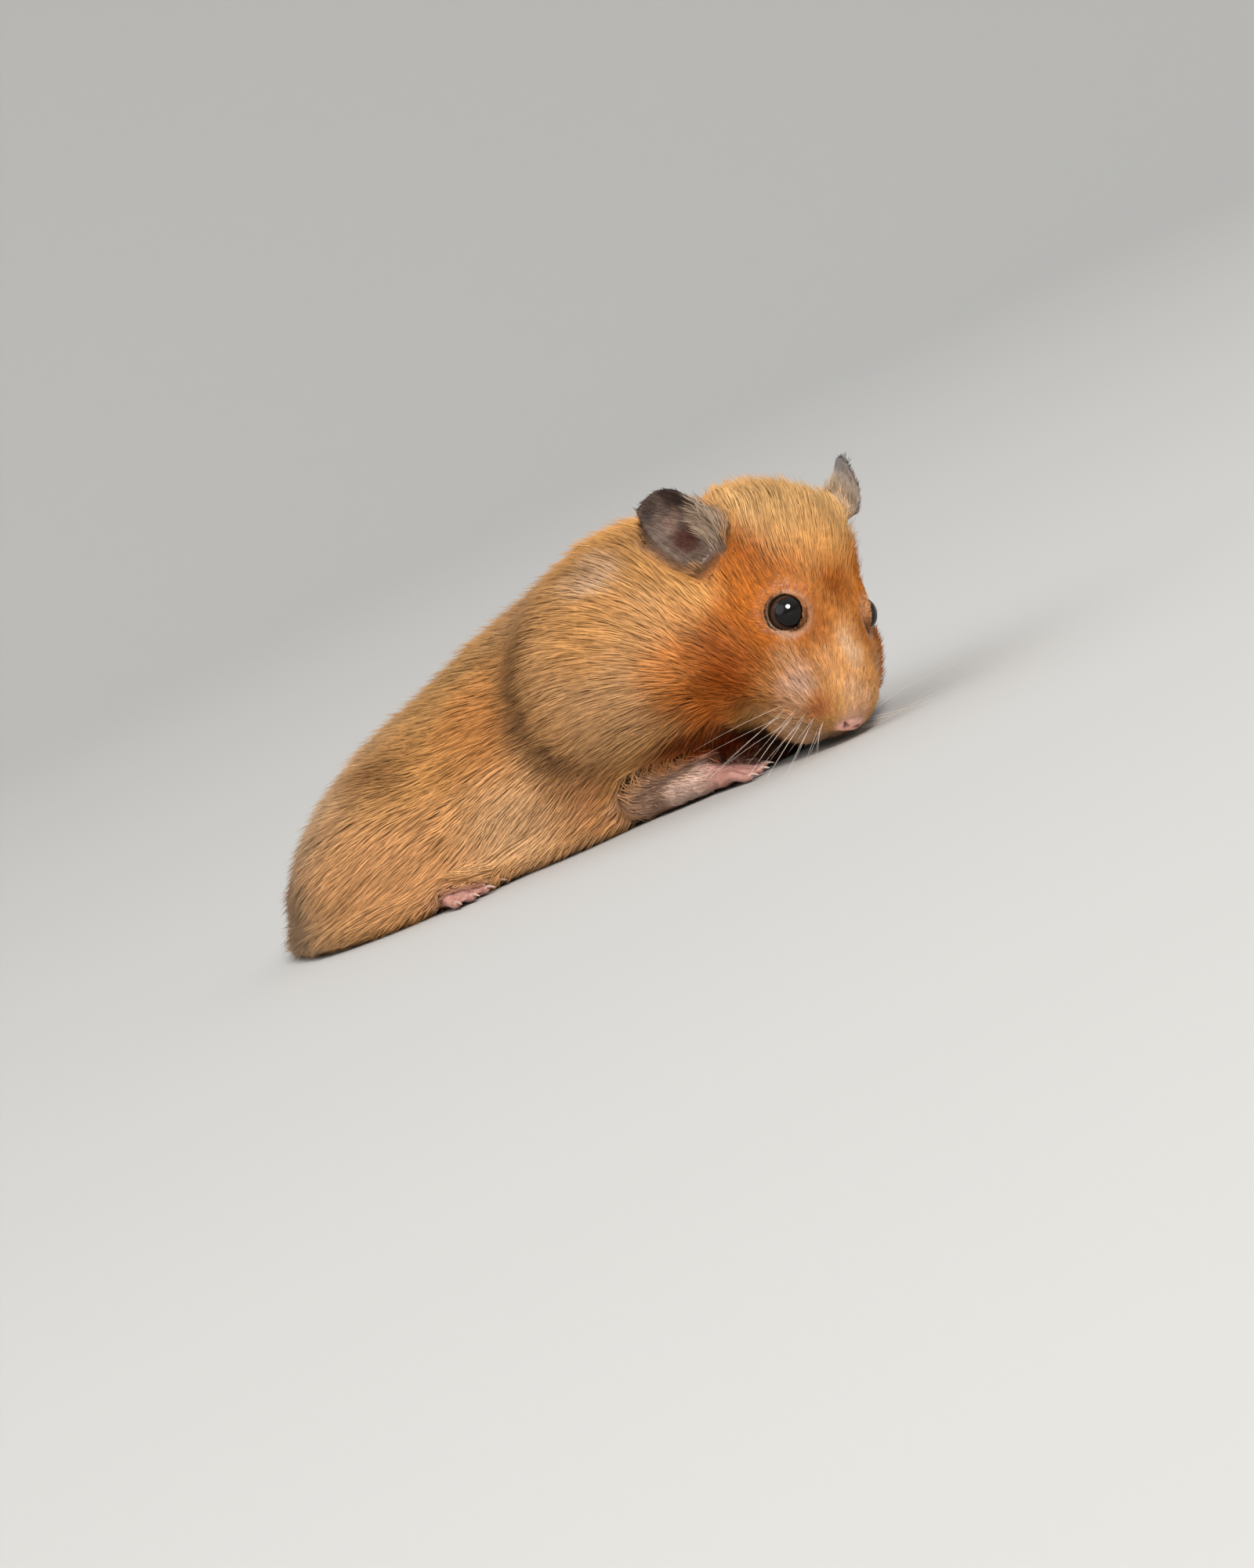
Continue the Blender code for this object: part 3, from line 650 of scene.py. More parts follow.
def inside_ear(points):
    """Whether each point lies over the open face of an ear: 0 to 1."""
    most = np.zeros(len(points))
    for side in SIDES:
        reach, _, across, above, near = ear_place(points, side)
        length = EARS[side]["length"]
        off = np.hypot((reach - 0.46 * length) / (0.58 * length), across)
        share = (1 - smooth(0.92, 1.08, off)) * smooth(-0.4, 0.1, above) * (1 - smooth(4.5, 6.5, above))
        most = np.maximum(most, share * near)
    return most


def ear_fringe(points):
    """Where long pale hairs spring from an ear's front edge: 0 to 1."""
    most = np.zeros(len(points))
    for side in SIDES:
        reach, aside, _, above, near = ear_place(points, side)
        lengthwise = 0.66 * (reach - 0.6) + 0.75 * (aside - 2.6)
        crosswise = 0.66 * (aside - 2.6) - 0.75 * (reach - 0.6)
        off = np.sqrt((lengthwise / 4.6) ** 2 + (crosswise / 1.8) ** 2 + (above / 5) ** 2)
        most = np.maximum(most, (1 - smooth(0.6, 1.05, off)) * near)
    return most


def colours_at(points, weight):
    """The coat's colour at places on the skin, with painted shade and painted light in some of its markings.
    """
    colour = np.tile(GOLD, (len(points), 1))
    body, head = to_body(points), to_head(points)
    on_head = smooth(-34, -16, head[:, 0])
    for axes, places, reach in (("body", body, 1), ("head", head, on_head)):
        far, cell, seed = WANDER[axes]
        wander = np.stack([value_noise(points, cell, seed + axis) for axis in range(3)], axis=1)
        for _, centre, radii, soft, tint, strength in MARKINGS[axes]:
            place = places + far * wander
            if centre[1]:
                place[:, 1] = np.abs(place[:, 1])
            off = np.linalg.norm((place - centre) / radii, axis=1)
            share = strength * (1 - smooth(1 - soft, 1 + 0.3 * soft, off)) * reach
            colour = towards(colour, share, tint)
    # A crescent of sooty fur and painted shade lies behind each full pouch: the shade stands for the crease
    # under the pouch's rear edge.
    for side, sign in SIDES.items():
        middle, spread = POUCHES[side]
        off = (body - middle) / spread
        ring = np.hypot(off[:, 0], off[:, 2])
        behind = smooth(0.15, 0.6, -off[:, 0] / np.maximum(ring, 0.01)) * (np.sign(body[:, 1]) == sign)
        behind *= smooth(-1.05, -0.6, off[:, 2]) * (1 - 0.6 * smooth(0.4, 0.8, off[:, 2]))
        colour = towards(colour, 0.92 * behind * np.exp(-(((ring - 0.94) / 0.19) ** 2)), SOOT_AND_SHADE)
    # A thin pale rim runs round each eye, widest below and behind.
    below = smooth(0, 2.5, EYE_AT[2] - head[:, 2])
    rear = smooth(0, 2.5, EYE_AT[0] - head[:, 0])
    rim = (0.3 + 0.45 * below + 0.2 * rear) * (1 - smooth(3.6, 4.4 + 0.7 * below, near_eye(points)))
    colour = towards(colour, rim, EYE_RIM)
    colour = towards(colour, np.maximum(weight[:, EAR], inside_ear(points)), ear_colours(points))
    colour = towards(colour, 0.9 * ear_fringe(points), FRINGE)
    colour = towards(colour, np.clip(weight[:, FORELEG] * 1.2, 0, 1), FORELEG_HAIR)
    colour = towards(colour, weight[:, FOREPAW], WRIST_HAIR)
    return towards(colour, bareness(points, weight), BARE_FOOT)


def bareness(points, weight):
    """How bare the feet and the tail are: a forepaw is furred at the wrist and bare at the toes."""
    toes = np.zeros(len(points))
    for side in SIDES:
        wrist = middle_of("forepaw_" + side)
        ahead = unit(wrist - middle_of("foreleg_" + side))
        near = np.sign(points[:, 1] - BODY_AT[1]) == SIDES[side]
        toes = np.maximum(toes, smooth(-1.5, 3.0, (points - wrist) @ ahead) * near)
    return np.clip(weight[:, FOREPAW] * toes + weight[:, HINDFOOT] + 0.5 * weight[:, TAIL], 0, 1)


def ear_colours(points):
    """An ear's colours: grey-brown, with its markings, among them painted shade in its hollow and under its
    upper edge and painted light on a fold.
    """
    colour = np.tile(EAR_SKIN, (len(points), 1))
    for side in SIDES:
        reach, aside, _, _, near = ear_place(points, side)
        for _, middle, radii, tint, strength in EAR_MARKINGS[side]:
            off = np.hypot((reach - middle[0]) / radii[0], (aside - middle[1]) / radii[1])
            colour = towards(colour, strength * (1 - smooth(0.3, 1.1, off)) * near, tint)
    return colour


def skin_colours(points, weight):
    """The skin's colour: the coat's, darker, with black lids, a pink nose and painted shade in the nostril
    slits.
    """
    colour = colours_at(points, weight) * 0.88
    head = to_head(points)
    colour = towards(colour, 1 - smooth(60, 64, off_gaze(points)), BLACK_LID)
    colour = towards(colour, 1 - smooth(0.7, 1.25, off_nose(head, (2.6, 2.5, 2.1))), NOSE_PINK)
    # The nostril slits get painted shade.
    slit = np.hypot((np.abs(head[:, 1]) - 1.2) / 0.75, (head[:, 2] + 5.6) / 0.5)
    return towards(colour, 0.8 * (1 - smooth(0.5, 1.2, slit)) * smooth(20, 21, head[:, 0]), NOSTRIL_SHADE)


# ---- the coat ----

ROOT_DEPTH = 0.12  # of a tuft's root in the skin
PROUD_SHARE = 0.22  # of the tufts stand out past the coat's surface
LEADER_SHARE = 0.08  # of the tufts each lead a lock
PALE_SHARE = 0.2  # of the tufts are pale
PALER = np.array((1.32, 1.42, 1.42))  # how much lighter a pale hair is than the coat round it
PALE_DUST = np.array((0.045, 0.026, 0.005))
# Corners of a tuft's section: across the tuft and out from the skin, in half-widths.
TUFT_SECTION = ((-1.0, -0.25), (1.0, -0.25), (0.0, 0.65))
# A tuft's patch on the bake map: its root, the corners of its section and its tip.
TUFT_PATCH = 0.0015 * np.array(((0, -1), (-1, -0.1), (1, -0.1), (0, 0.2), (0, 1)))


def coat_plan(points, weight):
    """The coat's length, half-width and number of tufts to a square millimetre, at each place."""
    head = to_head(points)
    ahead = np.linalg.norm(head - NOSE_TIP, axis=1)
    bare = bareness(points, weight)
    # Over the head it grows longer from the nose to the nape.
    on_head = 0.7 + 1.2 * smooth(2, 9, ahead) + 1.6 * smooth(9, 24, ahead) + 1.5 * smooth(24, 38, ahead)
    length = weight[:, TRUNK] * 5.6 + weight[:, HEAD] * on_head + weight[:, EAR] * 1.5
    length += weight[:, FORELEG] * 2.6 + weight[:, FOREPAW] * (2.0 - 1.1 * bare)
    length += weight[:, HINDFOOT] * 1.0 + weight[:, TAIL] * 2.8
    length += 3.0 * ear_fringe(points)
    # It is short round the eyes and where the animal lies on it.
    length *= 0.22 + 0.78 * smooth(3.7, 8.5, near_eye(points))
    length *= 0.45 + 0.55 * smooth(0.5, 5, points[:, 2])
    width = 0.030 + 0.014 * np.minimum(length, 4.5)
    # Short tufts stand closer. There are more round the eyes, and none on the lids and the nose pad.
    many = 8.2 / (0.34 + 0.11 * length) * (1 - 0.75 * bare)
    many *= 2.4 * smooth(59, 61, off_gaze(points)) - 1.4 * smooth(66, 100, off_gaze(points))
    many *= smooth(0.9, 1.25, off_nose(head, (2.5, 2.4, 2.0)))
    many *= 1 - 0.55 * (1 - smooth(0.8, 3.5, points[:, 2]))
    return length, width, many


def scatter(skin, total):
    """Places for about that many roots, as triangle numbers and shares, thickest where the plan says."""
    _, _, many = coat_plan(skin.points, skin.weight)
    first, second, third = (skin.points[skin.faces[:, k]] for k in range(3))
    area = 0.5 * np.linalg.norm(np.cross(second - first, third - first), axis=1)
    wanted = area * many[skin.faces].mean(axis=1)
    edge = np.cumsum(wanted) * total / wanted.sum()
    marks = np.arange(total) + rng.random(total)
    index = np.minimum(np.searchsorted(edge, marks), len(area) - 1)
    u, v = rng.random((2, total))
    over = u + v > 1
    u[over], v[over] = 1 - u[over], 1 - v[over]
    return index, np.stack([1 - u - v, u, v], axis=1)


# Large odd numbers, which turn a grid corner's place and a seed into a key that looks random.
PLACE_FACTORS = np.array((73856093, 19349663, 83492791))
SEED_FACTOR, KEY_FACTOR = 2654435761, 1274126177


def value_noise(places, cell, seed):
    """Smooth noise from -1 to 1 with features about a cell wide."""
    grid = places / cell
    low = np.floor(grid).astype(np.int64)
    part = grid - low
    part = part * part * (3 - 2 * part)
    total = np.zeros(len(places))
    for corner in range(8):
        step = np.array([corner >> k & 1 for k in range(3)])
        key = ((low + step) * PLACE_FACTORS).sum(axis=1) + seed * SEED_FACTOR
        key = (key ^ (key >> 13)) * KEY_FACTOR & 0x7FFFFFFF
        key = (key ^ (key >> 16)) & 0xFFFF
        share = np.prod(np.where(step, part, 1 - part), axis=1)
        total += share * (key / 32767.5 - 1)
    return total


def streaks(roots, ways, reach, cell, seed):
    """Noise drawn out along the lie of the coat, with a spread of 1."""
    total = np.zeros(len(roots))
    for step in np.linspace(-1, 1, 7):
        total += value_noise(roots + ways * (step * reach)[:, None], cell, seed)
    return (total - total.mean()) / total.std()


def grow_coat(skin, total):
    """Every tuft's three stations from root to tip, normals, ways, half-width and colours there, with
    the weights of each kind of flesh and the triangle at its root."""
    index, shares = scatter(skin, total)
    root = skin.blend(skin.points, index, shares)
    normal = unit(skin.blend(skin.normals, index, shares))
    weight = skin.blend(skin.weight, index, shares)
    length, width, _ = coat_plan(root, weight)
    depth = coat_depth(root, weight)
    length *= rng.uniform(0.75, 1.2, total)
    wander = 0.12 * value_noise(root, 6.0, 1) + 0.08 * value_noise(root, 1.8, 2)
    wander += rng.normal(0, 0.06, total)

    def heading(places, normals, weights):
        way = lie(places, weights)
        way = unit(way - normals * (way * normals).sum(axis=1, keepdims=True))
        side = np.cross(normals, way)
        turn = wander[:, None]
        return unit(way * np.cos(turn) + side * np.sin(turn))

    way = heading(root, normal, weight)
    layer = rng.beta(2.6, 1.3, total)
    lengthy = np.minimum(length / 4, 1)
    proud = np.where(rng.random(total) < PROUD_SHARE, rng.uniform(0.3, 1.8, total), 0) * lengthy
    strand = np.clip(streaks(root, way, 0.2 + 0.36 * length, 0.36, 7), -2.2, 2.2)
    fringe = ear_fringe(root)
    lift = proud + 1.1 * fringe * rng.random(total) + 0.10 * np.maximum(strand, 0) * lengthy
    # The middle station is about half as high as the tip.
    heights = (0.55 * depth * layer + 0.5 * lift, depth * layer + lift + 0.05)
    # A tuft from outside an ear that would cross its open face is left out.
    crosses = np.zeros(total, bool)
    stations, normals, ways = [root - normal * ROOT_DEPTH], [normal], [way]
    place = root
    for height in heights:
        target = place + ways[-1] * (length / 2)[:, None]
        index_at, shares_at = skin.nearest(target)
        place = skin.blend(skin.points, index_at, shares_at)
        normal_at = unit(skin.blend(skin.normals, index_at, shares_at))
        weight_at = skin.blend(skin.weight, index_at, shares_at)
        # A tuft that finds itself round a fold keeps its root's normal.
        turned = (normal_at * normals[0]).sum(axis=1) < 0.1
        normal_at[turned] = normals[0][turned]
        place = np.where(turned[:, None], target, place)
        crosses |= (weight_at[:, EAR] > 0.6) & (weight[:, EAR] < 0.4) & (fringe < 0.2)
        crosses |= (inside_ear(stations[-1]) > 0.3) & (inside_ear(root) < 0.3) & (fringe < 0.2)
        stations.append(place + normal_at * height[:, None])
        normals.append(normal_at)
        ways.append(heading(place, normal_at, weight_at))

    # Tips draw together in small locks.
    leaders = np.flatnonzero(rng.random(total) < LEADER_SHARE)
    lead = leaders[closest(root[leaders], root)]
    close = np.linalg.norm(root - root[lead], axis=1) < 0.35 * length
    alike = (normals[0] * normals[0][lead]).sum(axis=1) > 0.7
    pull = (0.30 * (close & alike) * rng.uniform(0.4, 1, total))[:, None]
    stations[2] += pull * (stations[2][lead] - stations[2])
    stations[1] += 0.3 * pull * (stations[1][lead] - stations[1])
    # Every station stays off the floor.
    for station in stations:
        station[:, 2] = np.maximum(station[:, 2], 0.03)

    base = towards(colours_at((stations[1] + stations[2]) / 2, weight), fringe, FRINGE)
    patch = 1 + 0.10 * value_noise(root, 4.0, 5) + 0.08 * value_noise(root, 1.3, 6)
    lock = rng.normal(1, 0.07, total)[lead]
    shade = (patch * lock * rng.normal(1, 0.07, total) * (1 + 0.10 * strand))[:, None]
    pale = (rng.random(total) < PALE_SHARE)[:, None] * rng.uniform(0.2, 0.7, (total, 1))
    pale = np.maximum(pale, 0.42 * smooth(0.5, 1.8, strand)[:, None])
    tip = np.clip(base * shade * 1.12, 0, 1)
    tip = tip * (1 - pale) + np.minimum(base * PALER + PALE_DUST, 0.95) * pale
    colours = (base * shade * 0.78, base * shade * (1 + 0.2 * pale), tip)
    keep = np.flatnonzero(~crosses)
    rows = (stations, normals, ways, colours)
    stations, normals, ways, colours = ([row[keep] for row in each] for each in rows)
    return (stations, normals, ways, width[keep], colours), weight[keep], index[keep]


def tuft_mesh(name, pick, strands, places):
    """A closed three-sided spindle for each tuft picked, with its patch of the bake map."""
    stations, normals, ways, width, colours = strands
    count = len(pick)
    points = np.empty((count, 5, 3))
    shading = np.empty((count, 5, 3))
    paints = np.empty((count, 5, 3))
    for number, row in ((0, 0), (4, 2)):
        points[:, number] = stations[row][pick]
        shading[:, number] = normals[row][pick]
        paints[:, number] = colours[row][pick]
    side = np.cross(normals[1][pick], ways[1][pick])
    for number, (across, out) in enumerate(TUFT_SECTION, 1):
        offset = side * across + normals[1][pick] * out
        points[:, number] = stations[1][pick] + offset * width[pick, None]
        shading[:, number] = unit(normals[1][pick] + 0.5 * offset)
        paints[:, number] = colours[1][pick]
    points[:, :, 2] = np.maximum(points[:, :, 2], 0.0)
    faces = []
    for a, b in ((1, 2), (2, 3), (3, 1)):
        faces += [(a, b, 4), (b, a, 0)]
    faces = np.array(faces)[None] + 5 * np.arange(count)[:, None, None]
    mesh = mesh_of(name, points.reshape(-1, 3), faces.reshape(-1, 3))
    mesh.normals_split_custom_set_from_vertices(shading.reshape(-1, 3).astype(np.float32))
    paint(mesh, "coat", paints.reshape(-1, 3))
    spots = (places[pick][:, None] + TUFT_PATCH[None]).reshape(-1, 2)
    layer = mesh.uv_layers.new(name="OFBake")
    layer.data.foreach_set("uv", spots[faces.ravel()].astype(np.float32).ravel())
    return mesh


def unwrap(skin):
    """A map of the skin's own shape, from a thinned copy that is cut into islands and laid flat. It
    comes as a function that gives the map's spots at places on the skin."""
    thin = evaluated(mesh_of("thin", skin.points, skin.faces), "DECIMATE", ratio=0.08)
    thing = bpy.data.objects.new("thin", thin)
    bpy.context.scene.collection.objects.link(thing)
    bpy.context.view_layer.objects.active = thing
    thing.select_set(True)
    bpy.ops.object.mode_set(mode="EDIT")
    bpy.ops.mesh.select_all(action="SELECT")
    bpy.ops.uv.smart_project(angle_limit=math.radians(66), island_margin=0.004)
    bpy.ops.object.mode_set(mode="OBJECT")
    mesh = thing.data
    mesh.calc_loop_triangles()
    corners = read(mesh.loop_triangles, "loops", 3, np.int32)
    faces = read(mesh.loop_triangles, "vertices", 3, np.int32)
    spots = read(mesh.uv_layers.active.data, "uv", 2)
    points = read(mesh.vertices, "co", 3) / MM
    bpy.data.objects.remove(thing)
    laid = Surface(points, faces)

    def place(at):
        index, shares = laid.nearest(at)
        return (spots[corners[index]] * shares[..., None]).sum(axis=1)

    return place


# ---- materials ----


def new_material(name, **values):
    """A material with its node tree and its shader, whose sockets take the values."""
    material = bpy.data.materials.new(name)
    material.use_nodes = True
    shader = material.node_tree.nodes["Principled BSDF"]
    for key, value in values.items():
        shader.inputs[key.replace("_", " ")].default_value = value
    return material, material.node_tree, shader


def add(tree, kind, **values):
    """A node, with its settings and the values of its sockets."""
    node = tree.nodes.new(kind)
    for key, value in values.items():
        if hasattr(node, key):
            setattr(node, key, value)
        else:
            node.inputs[key.replace("_", " ")].default_value = value
    return node


def fine_noise(tree, kind, output, **values):
    """The output of a noise texture in the object's own space."""
    place = add(tree, "ShaderNodeTexCoord")
    noise = add(tree, kind, **values)
    tree.links.new(place.outputs["Object"], noise.inputs["Vector"])
    return noise.outputs[output]


def mottle(tree, shader, scale, detail, darkest, lightest):
    """Gives the shader the painted colours, made darker and lighter by fine noise."""
    colour = add(tree, "ShaderNodeVertexColor", layer_name="coat")
    noise = fine_noise(tree, "ShaderNodeTexNoise", "Fac", Scale=scale, Detail=detail)
    span = add(tree, "ShaderNodeMapRange", From_Min=0.3, From_Max=0.7, To_Min=darkest, To_Max=lightest)
    tree.links.new(noise, span.inputs["Value"])
    mixed = add(tree, "ShaderNodeVectorMath", operation="SCALE")
    tree.links.new(colour.outputs["Color"], mixed.inputs[0])
    tree.links.new(span.outputs["Result"], mixed.inputs["Scale"])
    tree.links.new(mixed.outputs["Vector"], shader.inputs["Base Color"])


def two_toned(name, scale, dark, light, **values):
    """A material with fine noise between two colours."""
    material, tree, shader = new_material(name, **values)
    ramp = add(tree, "ShaderNodeValToRGB")
    ramp.color_ramp.elements[0].color = (*dark, 1)
    ramp.color_ramp.elements[1].color = (*light, 1)
    tree.links.new(fine_noise(tree, "ShaderNodeTexNoise", "Fac", Scale=scale, Detail=2.0), ramp.inputs["Fac"])
    tree.links.new(ramp.outputs["Color"], shader.inputs["Base Color"])
    return material


def coat_material():
    material, tree, shader = new_material("coat", Roughness=0.5, Specular_IOR_Level=0.05)
    mottle(tree, shader, 900.0, 3.0, 0.86, 1.14)
    return material


def skin_material():
    material, tree, shader = new_material(
        "bare_skin", Roughness=0.5, Specular_IOR_Level=0.3, Subsurface_Weight=0.25, Subsurface_Scale=0.0012
    )
    shader.inputs["Subsurface Radius"].default_value = (1.0, 0.35, 0.2)
    mottle(tree, shader, 1400.0, 4.0, 0.82, 1.15)
    bump = add(tree, "ShaderNodeBump", Strength=0.35, Distance=0.00012)
    grain = fine_noise(tree, "ShaderNodeTexVoronoi", "Distance", Scale=2600.0)
    tree.links.new(grain, bump.inputs["Height"])
    tree.links.new(bump.outputs["Normal"], shader.inputs["Normal"])
    return material


def eye_material():
    material, tree, shader = new_material(
        "eye", Roughness=0.4, Specular_IOR_Level=0.0, Coat_Weight=1.0, Coat_Roughness=0.02, Coat_IOR=1.36
    )
    colour = add(tree, "ShaderNodeVertexColor", layer_name="coat")
    tree.links.new(colour.outputs["Color"], shader.inputs["Base Color"])
    return material


def claw_material():
    values = {"Roughness": 0.35, "Subsurface_Weight": 0.2, "Subsurface_Scale": 0.0005}
    return two_toned("claw", 1200.0, (0.40, 0.25, 0.20), (0.60, 0.44, 0.36), **values)


def whisker_material():
    values = {"Roughness": 0.35, "Specular_IOR_Level": 0.5}
    return two_toned("whisker", 300.0, (0.62, 0.50, 0.40), (0.90, 0.84, 0.76), **values)


# ---- eyes, claws and whiskers ----


PUPIL_FACES = np.array((0.607, 0.559, 0.59))
PUPIL = np.array((0.003, 0.002, 0.002))
IRIS = np.array((0.045, 0.026, 0.017))
IRIS_EDGE = (0.010, 0.007, 0.006)
EYEBALL_RADIUS = EYE_RADIUS - 0.12
CLAW_GROWTH = 1.04  # rounding a claw off shrinks it
WHISKER_ROWS = 4
WHISKERS_IN_ROW = {"right": 5, "left": 3}
WHISKER_STEPS, WHISKER_SIDES = 12, 4


def eyeball(side, material):
    """A dark, wet eye with a wide pupil in a thin brown iris."""
    points, faces = ball(1.0, 64, 96)
    gaze = unit(HEAD_TURN @ (PUPIL_FACES * (1, SIDES[side], 1)))
    turn = np.array(Vector(gaze).to_track_quat("Z", "Y").to_matrix())
    degrees = np.degrees(np.arccos(np.clip(points[:, 2], -1, 1)))
    swirl = np.arctan2(points[:, 1], points[:, 0])
    streak = 0.5 + 0.25 * np.sin(swirl * 41) + 0.25 * np.sin(swirl * 67 + 1.3)
    colour = towards(PUPIL, smooth(50, 55, degrees), IRIS * (0.65 + 0.5 * streak[:, None]))
    colour = towards(colour, smooth(66, 72, degrees), IRIS_EDGE)
    bulge = 1 + 0.03 * (1 - smooth(20, 62, degrees))
    points = EYES[side] + (points * bulge[:, None] * EYEBALL_RADIUS) @ turn.T
    mesh = mesh_of("eye_" + side, points, faces)
    paint(mesh, "coat", colour)
    made = piece(f"eyeball_{side}", mesh, material)
    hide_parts("eye_" + side)


def claws(material):
    """Each claw is its solid, rounded off."""
    for node in sorted(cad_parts):
        if not node.startswith("claw"):
            continue
        points, faces = triangles(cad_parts[node].data)
        centre = points.mean(axis=0)
        rough = mesh_of(node + "_round", centre + (points - centre) * CLAW_GROWTH, faces)
        fine = evaluated(rough, "SUBSURF", levels=2)
        fine.name = node + "_round"
        for vertex in fine.vertices:
            vertex.co.z = max(vertex.co.z, 0)
        fine.shade_smooth()
        made = piece(node.replace("claw", "nail"), fine, material)
        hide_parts(node)


def whisker(skin, side, row, column):
    """The points of one long bowed hair: rings round a line that is kept off the floor."""
    pad = np.array((20.6 - 1.15 * column, SIDES[side] * (3.8 + 0.95 * column), -5.8 - 0.9 * row))
    reach = 6.0 + 2.3 * column + 0.5 * row + rng.uniform(-1.5, 2.0)
    if side == "right":
        way = np.array((0.60 - 0.14 * column, -0.50 - 0.07 * column, -0.50 - 0.03 * row))
    else:
        reach += 7
        way = np.array((0.35 - 0.1 * column, 0.75, 0.5 - 0.18 * row))
    way = HEAD_TURN @ unit(way + rng.normal(0, 0.10, 3))
    droop = HEAD_TURN @ (np.array((0.1, 0, -0.25)) + rng.normal(0, 0.15, 3))
    root = skin.blend(skin.points, *skin.nearest(from_head(pad)[None]))[0]
    along = np.linspace(0, 1, WHISKER_STEPS)[:, None]
    spine = root + way * reach * along + droop * 0.3 * reach * along**2
    spine[0] -= way * 0.3
    lowest = np.minimum(spine[:, 2], 0)
    spine[:, 2] = np.maximum(spine[:, 2], 0.12) - lowest * 0.02
    ahead = unit(np.gradient(spine, axis=0))
    first = unit(np.cross(ahead, np.array((0.1, 0.2, 1.0))))
    second = np.cross(ahead, first)
    radius = 0.021 * (1 - along) ** 0.8 + 0.004
    rings = []
    for k in range(WHISKER_SIDES):
        turn = 2 * math.pi * k / WHISKER_SIDES
        rings.append(spine + (first * math.cos(turn) + second * math.sin(turn)) * radius)
    return np.stack(rings, axis=1).reshape(-1, 3)


def whiskers(skin, material):
    """Long bowed hairs in rows from the pads beside the nose."""
    points = []
    for side in SIDES:
        for row in range(WHISKER_ROWS):
            points += [whisker(skin, side, row, column) for column in range(WHISKERS_IN_ROW[side])]
    faces = [face[::-1] for face in joined(WHISKER_STEPS, WHISKER_SIDES)]
    last = (WHISKER_STEPS - 1) * WHISKER_SIDES
    faces += [(0, 2, 1), (0, 3, 2), (last, last + 1, last + 2), (last, last + 2, last + 3)]
    starts = WHISKER_STEPS * WHISKER_SIDES * np.arange(len(points))
    faces = np.array(faces)[None] + starts[:, None, None]
    mesh = mesh_of("whiskers", np.concatenate(points), faces.reshape(-1, 3))
    piece("whiskers", mesh, material)


# ---- stage ----


FLOOR_FLAT, FLOOR_RISE = 1.1, 1.2  # metres
FLOOR_COLOUR = (0.47, 0.463, 0.447, 1)
CAMERA_AZIMUTH, CAMERA_HEIGHT, CAMERA_ROLL = 26, 6, 25
CAMERA_TARGET = np.array((13.7, -5.0, 5.6))
CAMERA_AWAY = 800
CAMERA_LENS = 112.3
LIGHTS_AWAY = 2.0
# Each light: its place aside, above and in front of the target as the camera sees it, its size, its
# power and its colour.
LIGHTS = (
    ("key", (0.0, 0.75, 1.0), 0.55, 29.0, (1.0, 0.97, 0.93)),
    ("fill", (-1.1, 0.5, 0.7), 2.2, 15.0, (1.0, 0.98, 0.96)),
    ("rim", (-1.6, 1.2, -0.9), 1.6, 7.0, (1.0, 0.98, 0.95)),
    ("catch", (-0.05, 0.95, 1.0), 0.9, 90.0, (1.0, 0.98, 0.95)),
)
SKY_COLOUR, SKY_STRENGTH = (0.93, 0.96, 1.0, 1), 0.74


def stage():
    """A pale floor that sweeps up far away on every side, so that no horizon shows."""
    rings, sides, level = 40, 96, 0.4
    points, faces = [(0, 0, 0)], []
    for ring in range(1, rings + 1):
        share = ring / rings
        if share < level:
            radius, height = FLOOR_FLAT * share / level, 0.0
        else:
            turn = (share - level) / (1 - level) * math.pi / 2
            radius, height = FLOOR_FLAT + FLOOR_RISE * math.sin(turn), FLOOR_RISE * (1 - math.cos(turn))
        for k in range(sides):
            angle = 2 * math.pi * k / sides
            points.append((radius * math.cos(angle), radius * math.sin(angle), height))
    for k in range(sides):
        faces.append((0, 1 + k, 1 + (k + 1) % sides))
    faces += joined(rings, sides, 1)
    floor = bpy.data.objects.new("floor", mesh_of("floor", np.array(points) / MM, np.array(faces)))
    bpy.context.scene.collection.objects.link(floor)
    material, _, _ = new_material("floor", Base_Color=FLOOR_COLOUR, Roughness=0.9, Specular_IOR_Level=0.1)
    floor.data.materials.append(material)


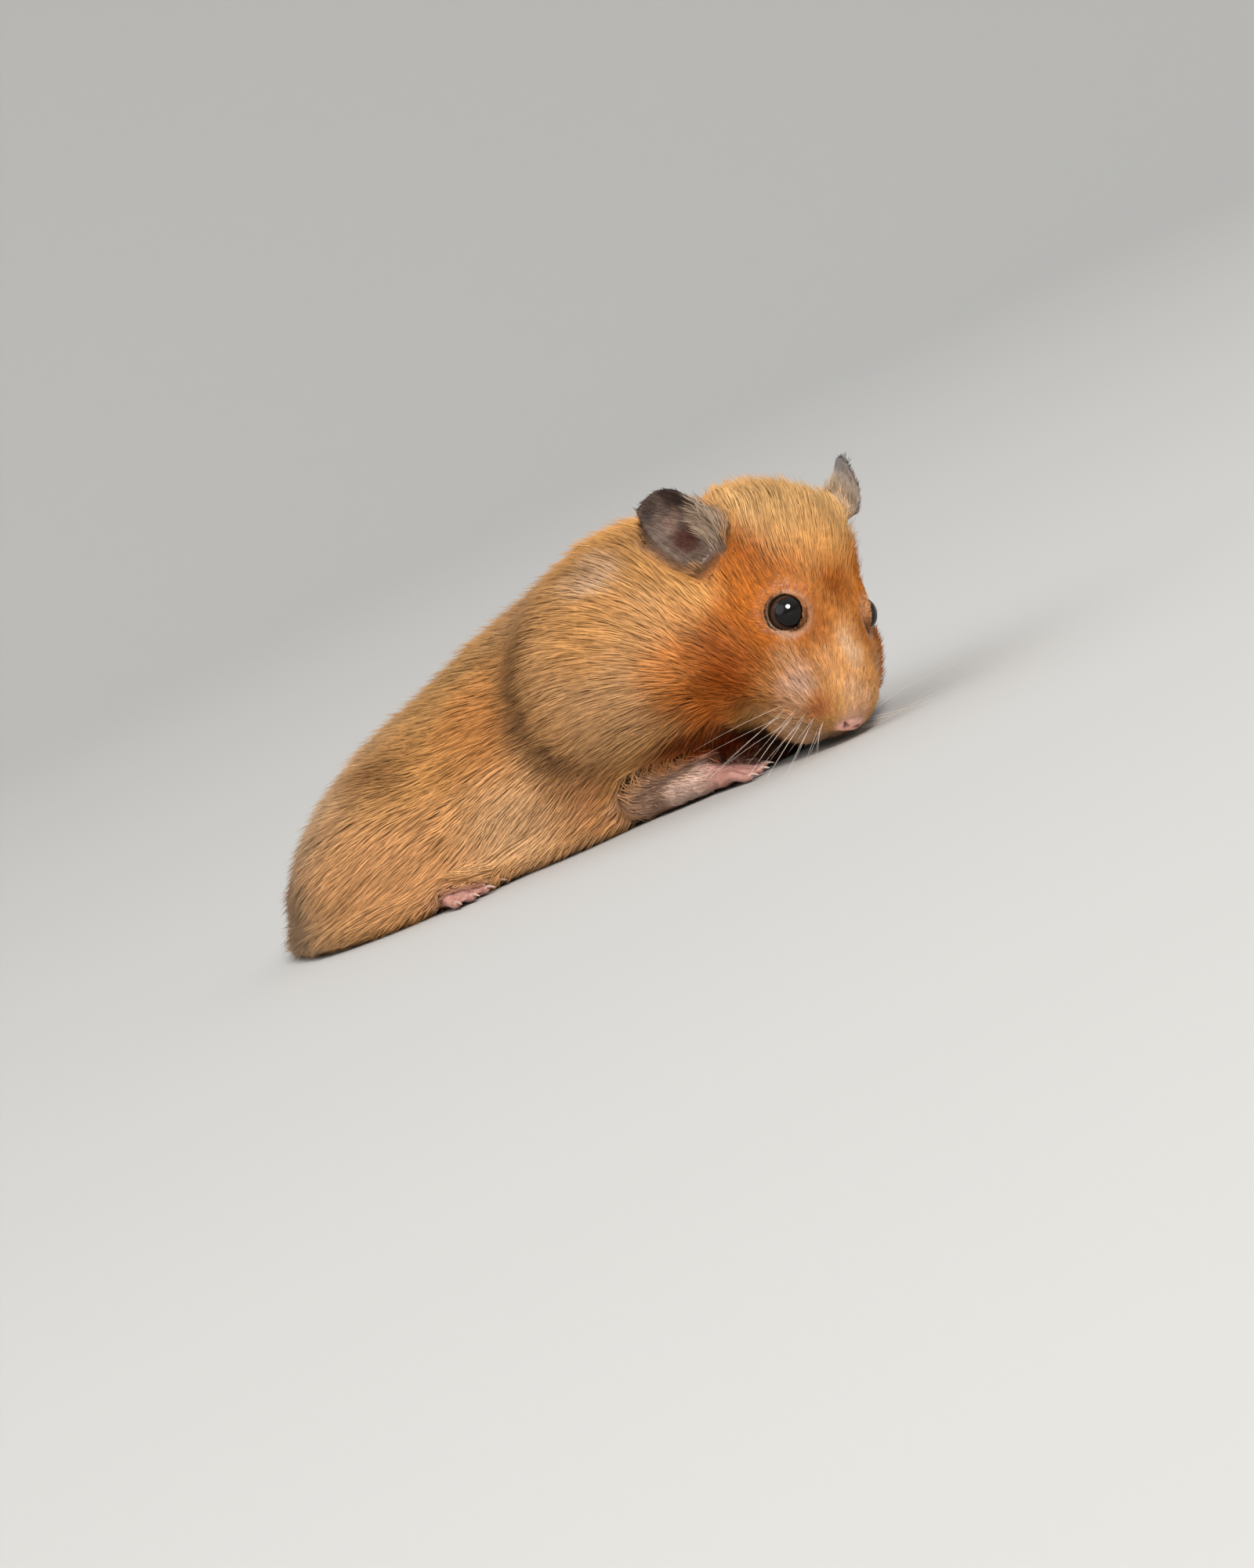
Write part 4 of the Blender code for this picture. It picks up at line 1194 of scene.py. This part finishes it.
def camera_and_lights():
    scene = bpy.context.scene
    azimuth, height = math.radians(CAMERA_AZIMUTH), math.radians(CAMERA_HEIGHT)
    level = math.cos(height)
    back = Vector((math.sin(azimuth) * level, -math.cos(azimuth) * level, math.sin(height)))
    data = bpy.data.cameras.new("camera")
    data.lens = CAMERA_LENS
    data.clip_start = 0.01
    camera = bpy.data.objects.new("camera", data)
    scene.collection.objects.link(camera)
    target = Vector((BODY_AT + CAMERA_TARGET) * MM)
    turn = (-back).to_track_quat("-Z", "Y").to_matrix().to_4x4()
    turn = turn @ Matrix.Rotation(-math.radians(CAMERA_ROLL), 4, "Z")
    camera.matrix_world = Matrix.Translation(target + back * CAMERA_AWAY * MM) @ turn
    scene.camera = camera
    right, up = turn.col[0].xyz, turn.col[1].xyz
    for name, (aside, above, front), size, power, tint in LIGHTS:
        lamp = bpy.data.lights.new(name, "AREA")
        lamp.shape = "DISK"
        lamp.size = size
        lamp.energy = power
        lamp.color = tint
        place = target + (right * aside + up * above + back * front).normalized() * LIGHTS_AWAY
        light = bpy.data.objects.new(name, lamp)
        turned = (place - target).to_track_quat("Z", "Y").to_matrix().to_4x4()
        light.matrix_world = Matrix.Translation(place) @ turned
        light.visible_camera = False
        light.visible_diffuse = name != "catch"  # the catch light only shines in the eyes
        scene.collection.objects.link(light)
    world = bpy.data.worlds.new("world")
    scene.world = world
    world.use_nodes = True
    world.node_tree.nodes["Background"].inputs["Color"].default_value = SKY_COLOUR
    world.node_tree.nodes["Background"].inputs["Strength"].default_value = SKY_STRENGTH
    scene.view_settings.view_transform = "Standard"


# ---- the model ----

TUFTS = 240000
MOST_IN_PIECE = 33000  # tufts


def main():
    points, faces, weight, flesh = build_skin()
    skin = Surface(points, faces, weight)
    mesh = mesh_of("skin", points, faces)
    paint(mesh, "coat", skin_colours(points, weight))
    made = piece("skin", mesh, skin_material())
    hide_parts(*flesh)

    strands, weight, index = grow_coat(skin, TUFTS)
    places = unwrap(skin)(strands[0][0])
    material = coat_material()
    order = np.argsort(index, kind="stable")
    kinds = weight.argmax(axis=1)
    groups = {"body": kinds == TRUNK, "head": kinds == HEAD, "limbs": kinds > HEAD}
    for group, members in groups.items():
        chosen = order[members[order]]
        parts = max(1, math.ceil(len(chosen) / MOST_IN_PIECE))
        for number, pick in enumerate(np.array_split(chosen, parts), 1):
            name = f"coat_{group}_{number}"
            piece(name, tuft_mesh(name, pick, strands, places), material)

    eye = eye_material()
    for side in SIDES:
        eyeball(side, eye)
    claws(claw_material())
    whiskers(skin, whisker_material())
    stage()
    camera_and_lights()


main()
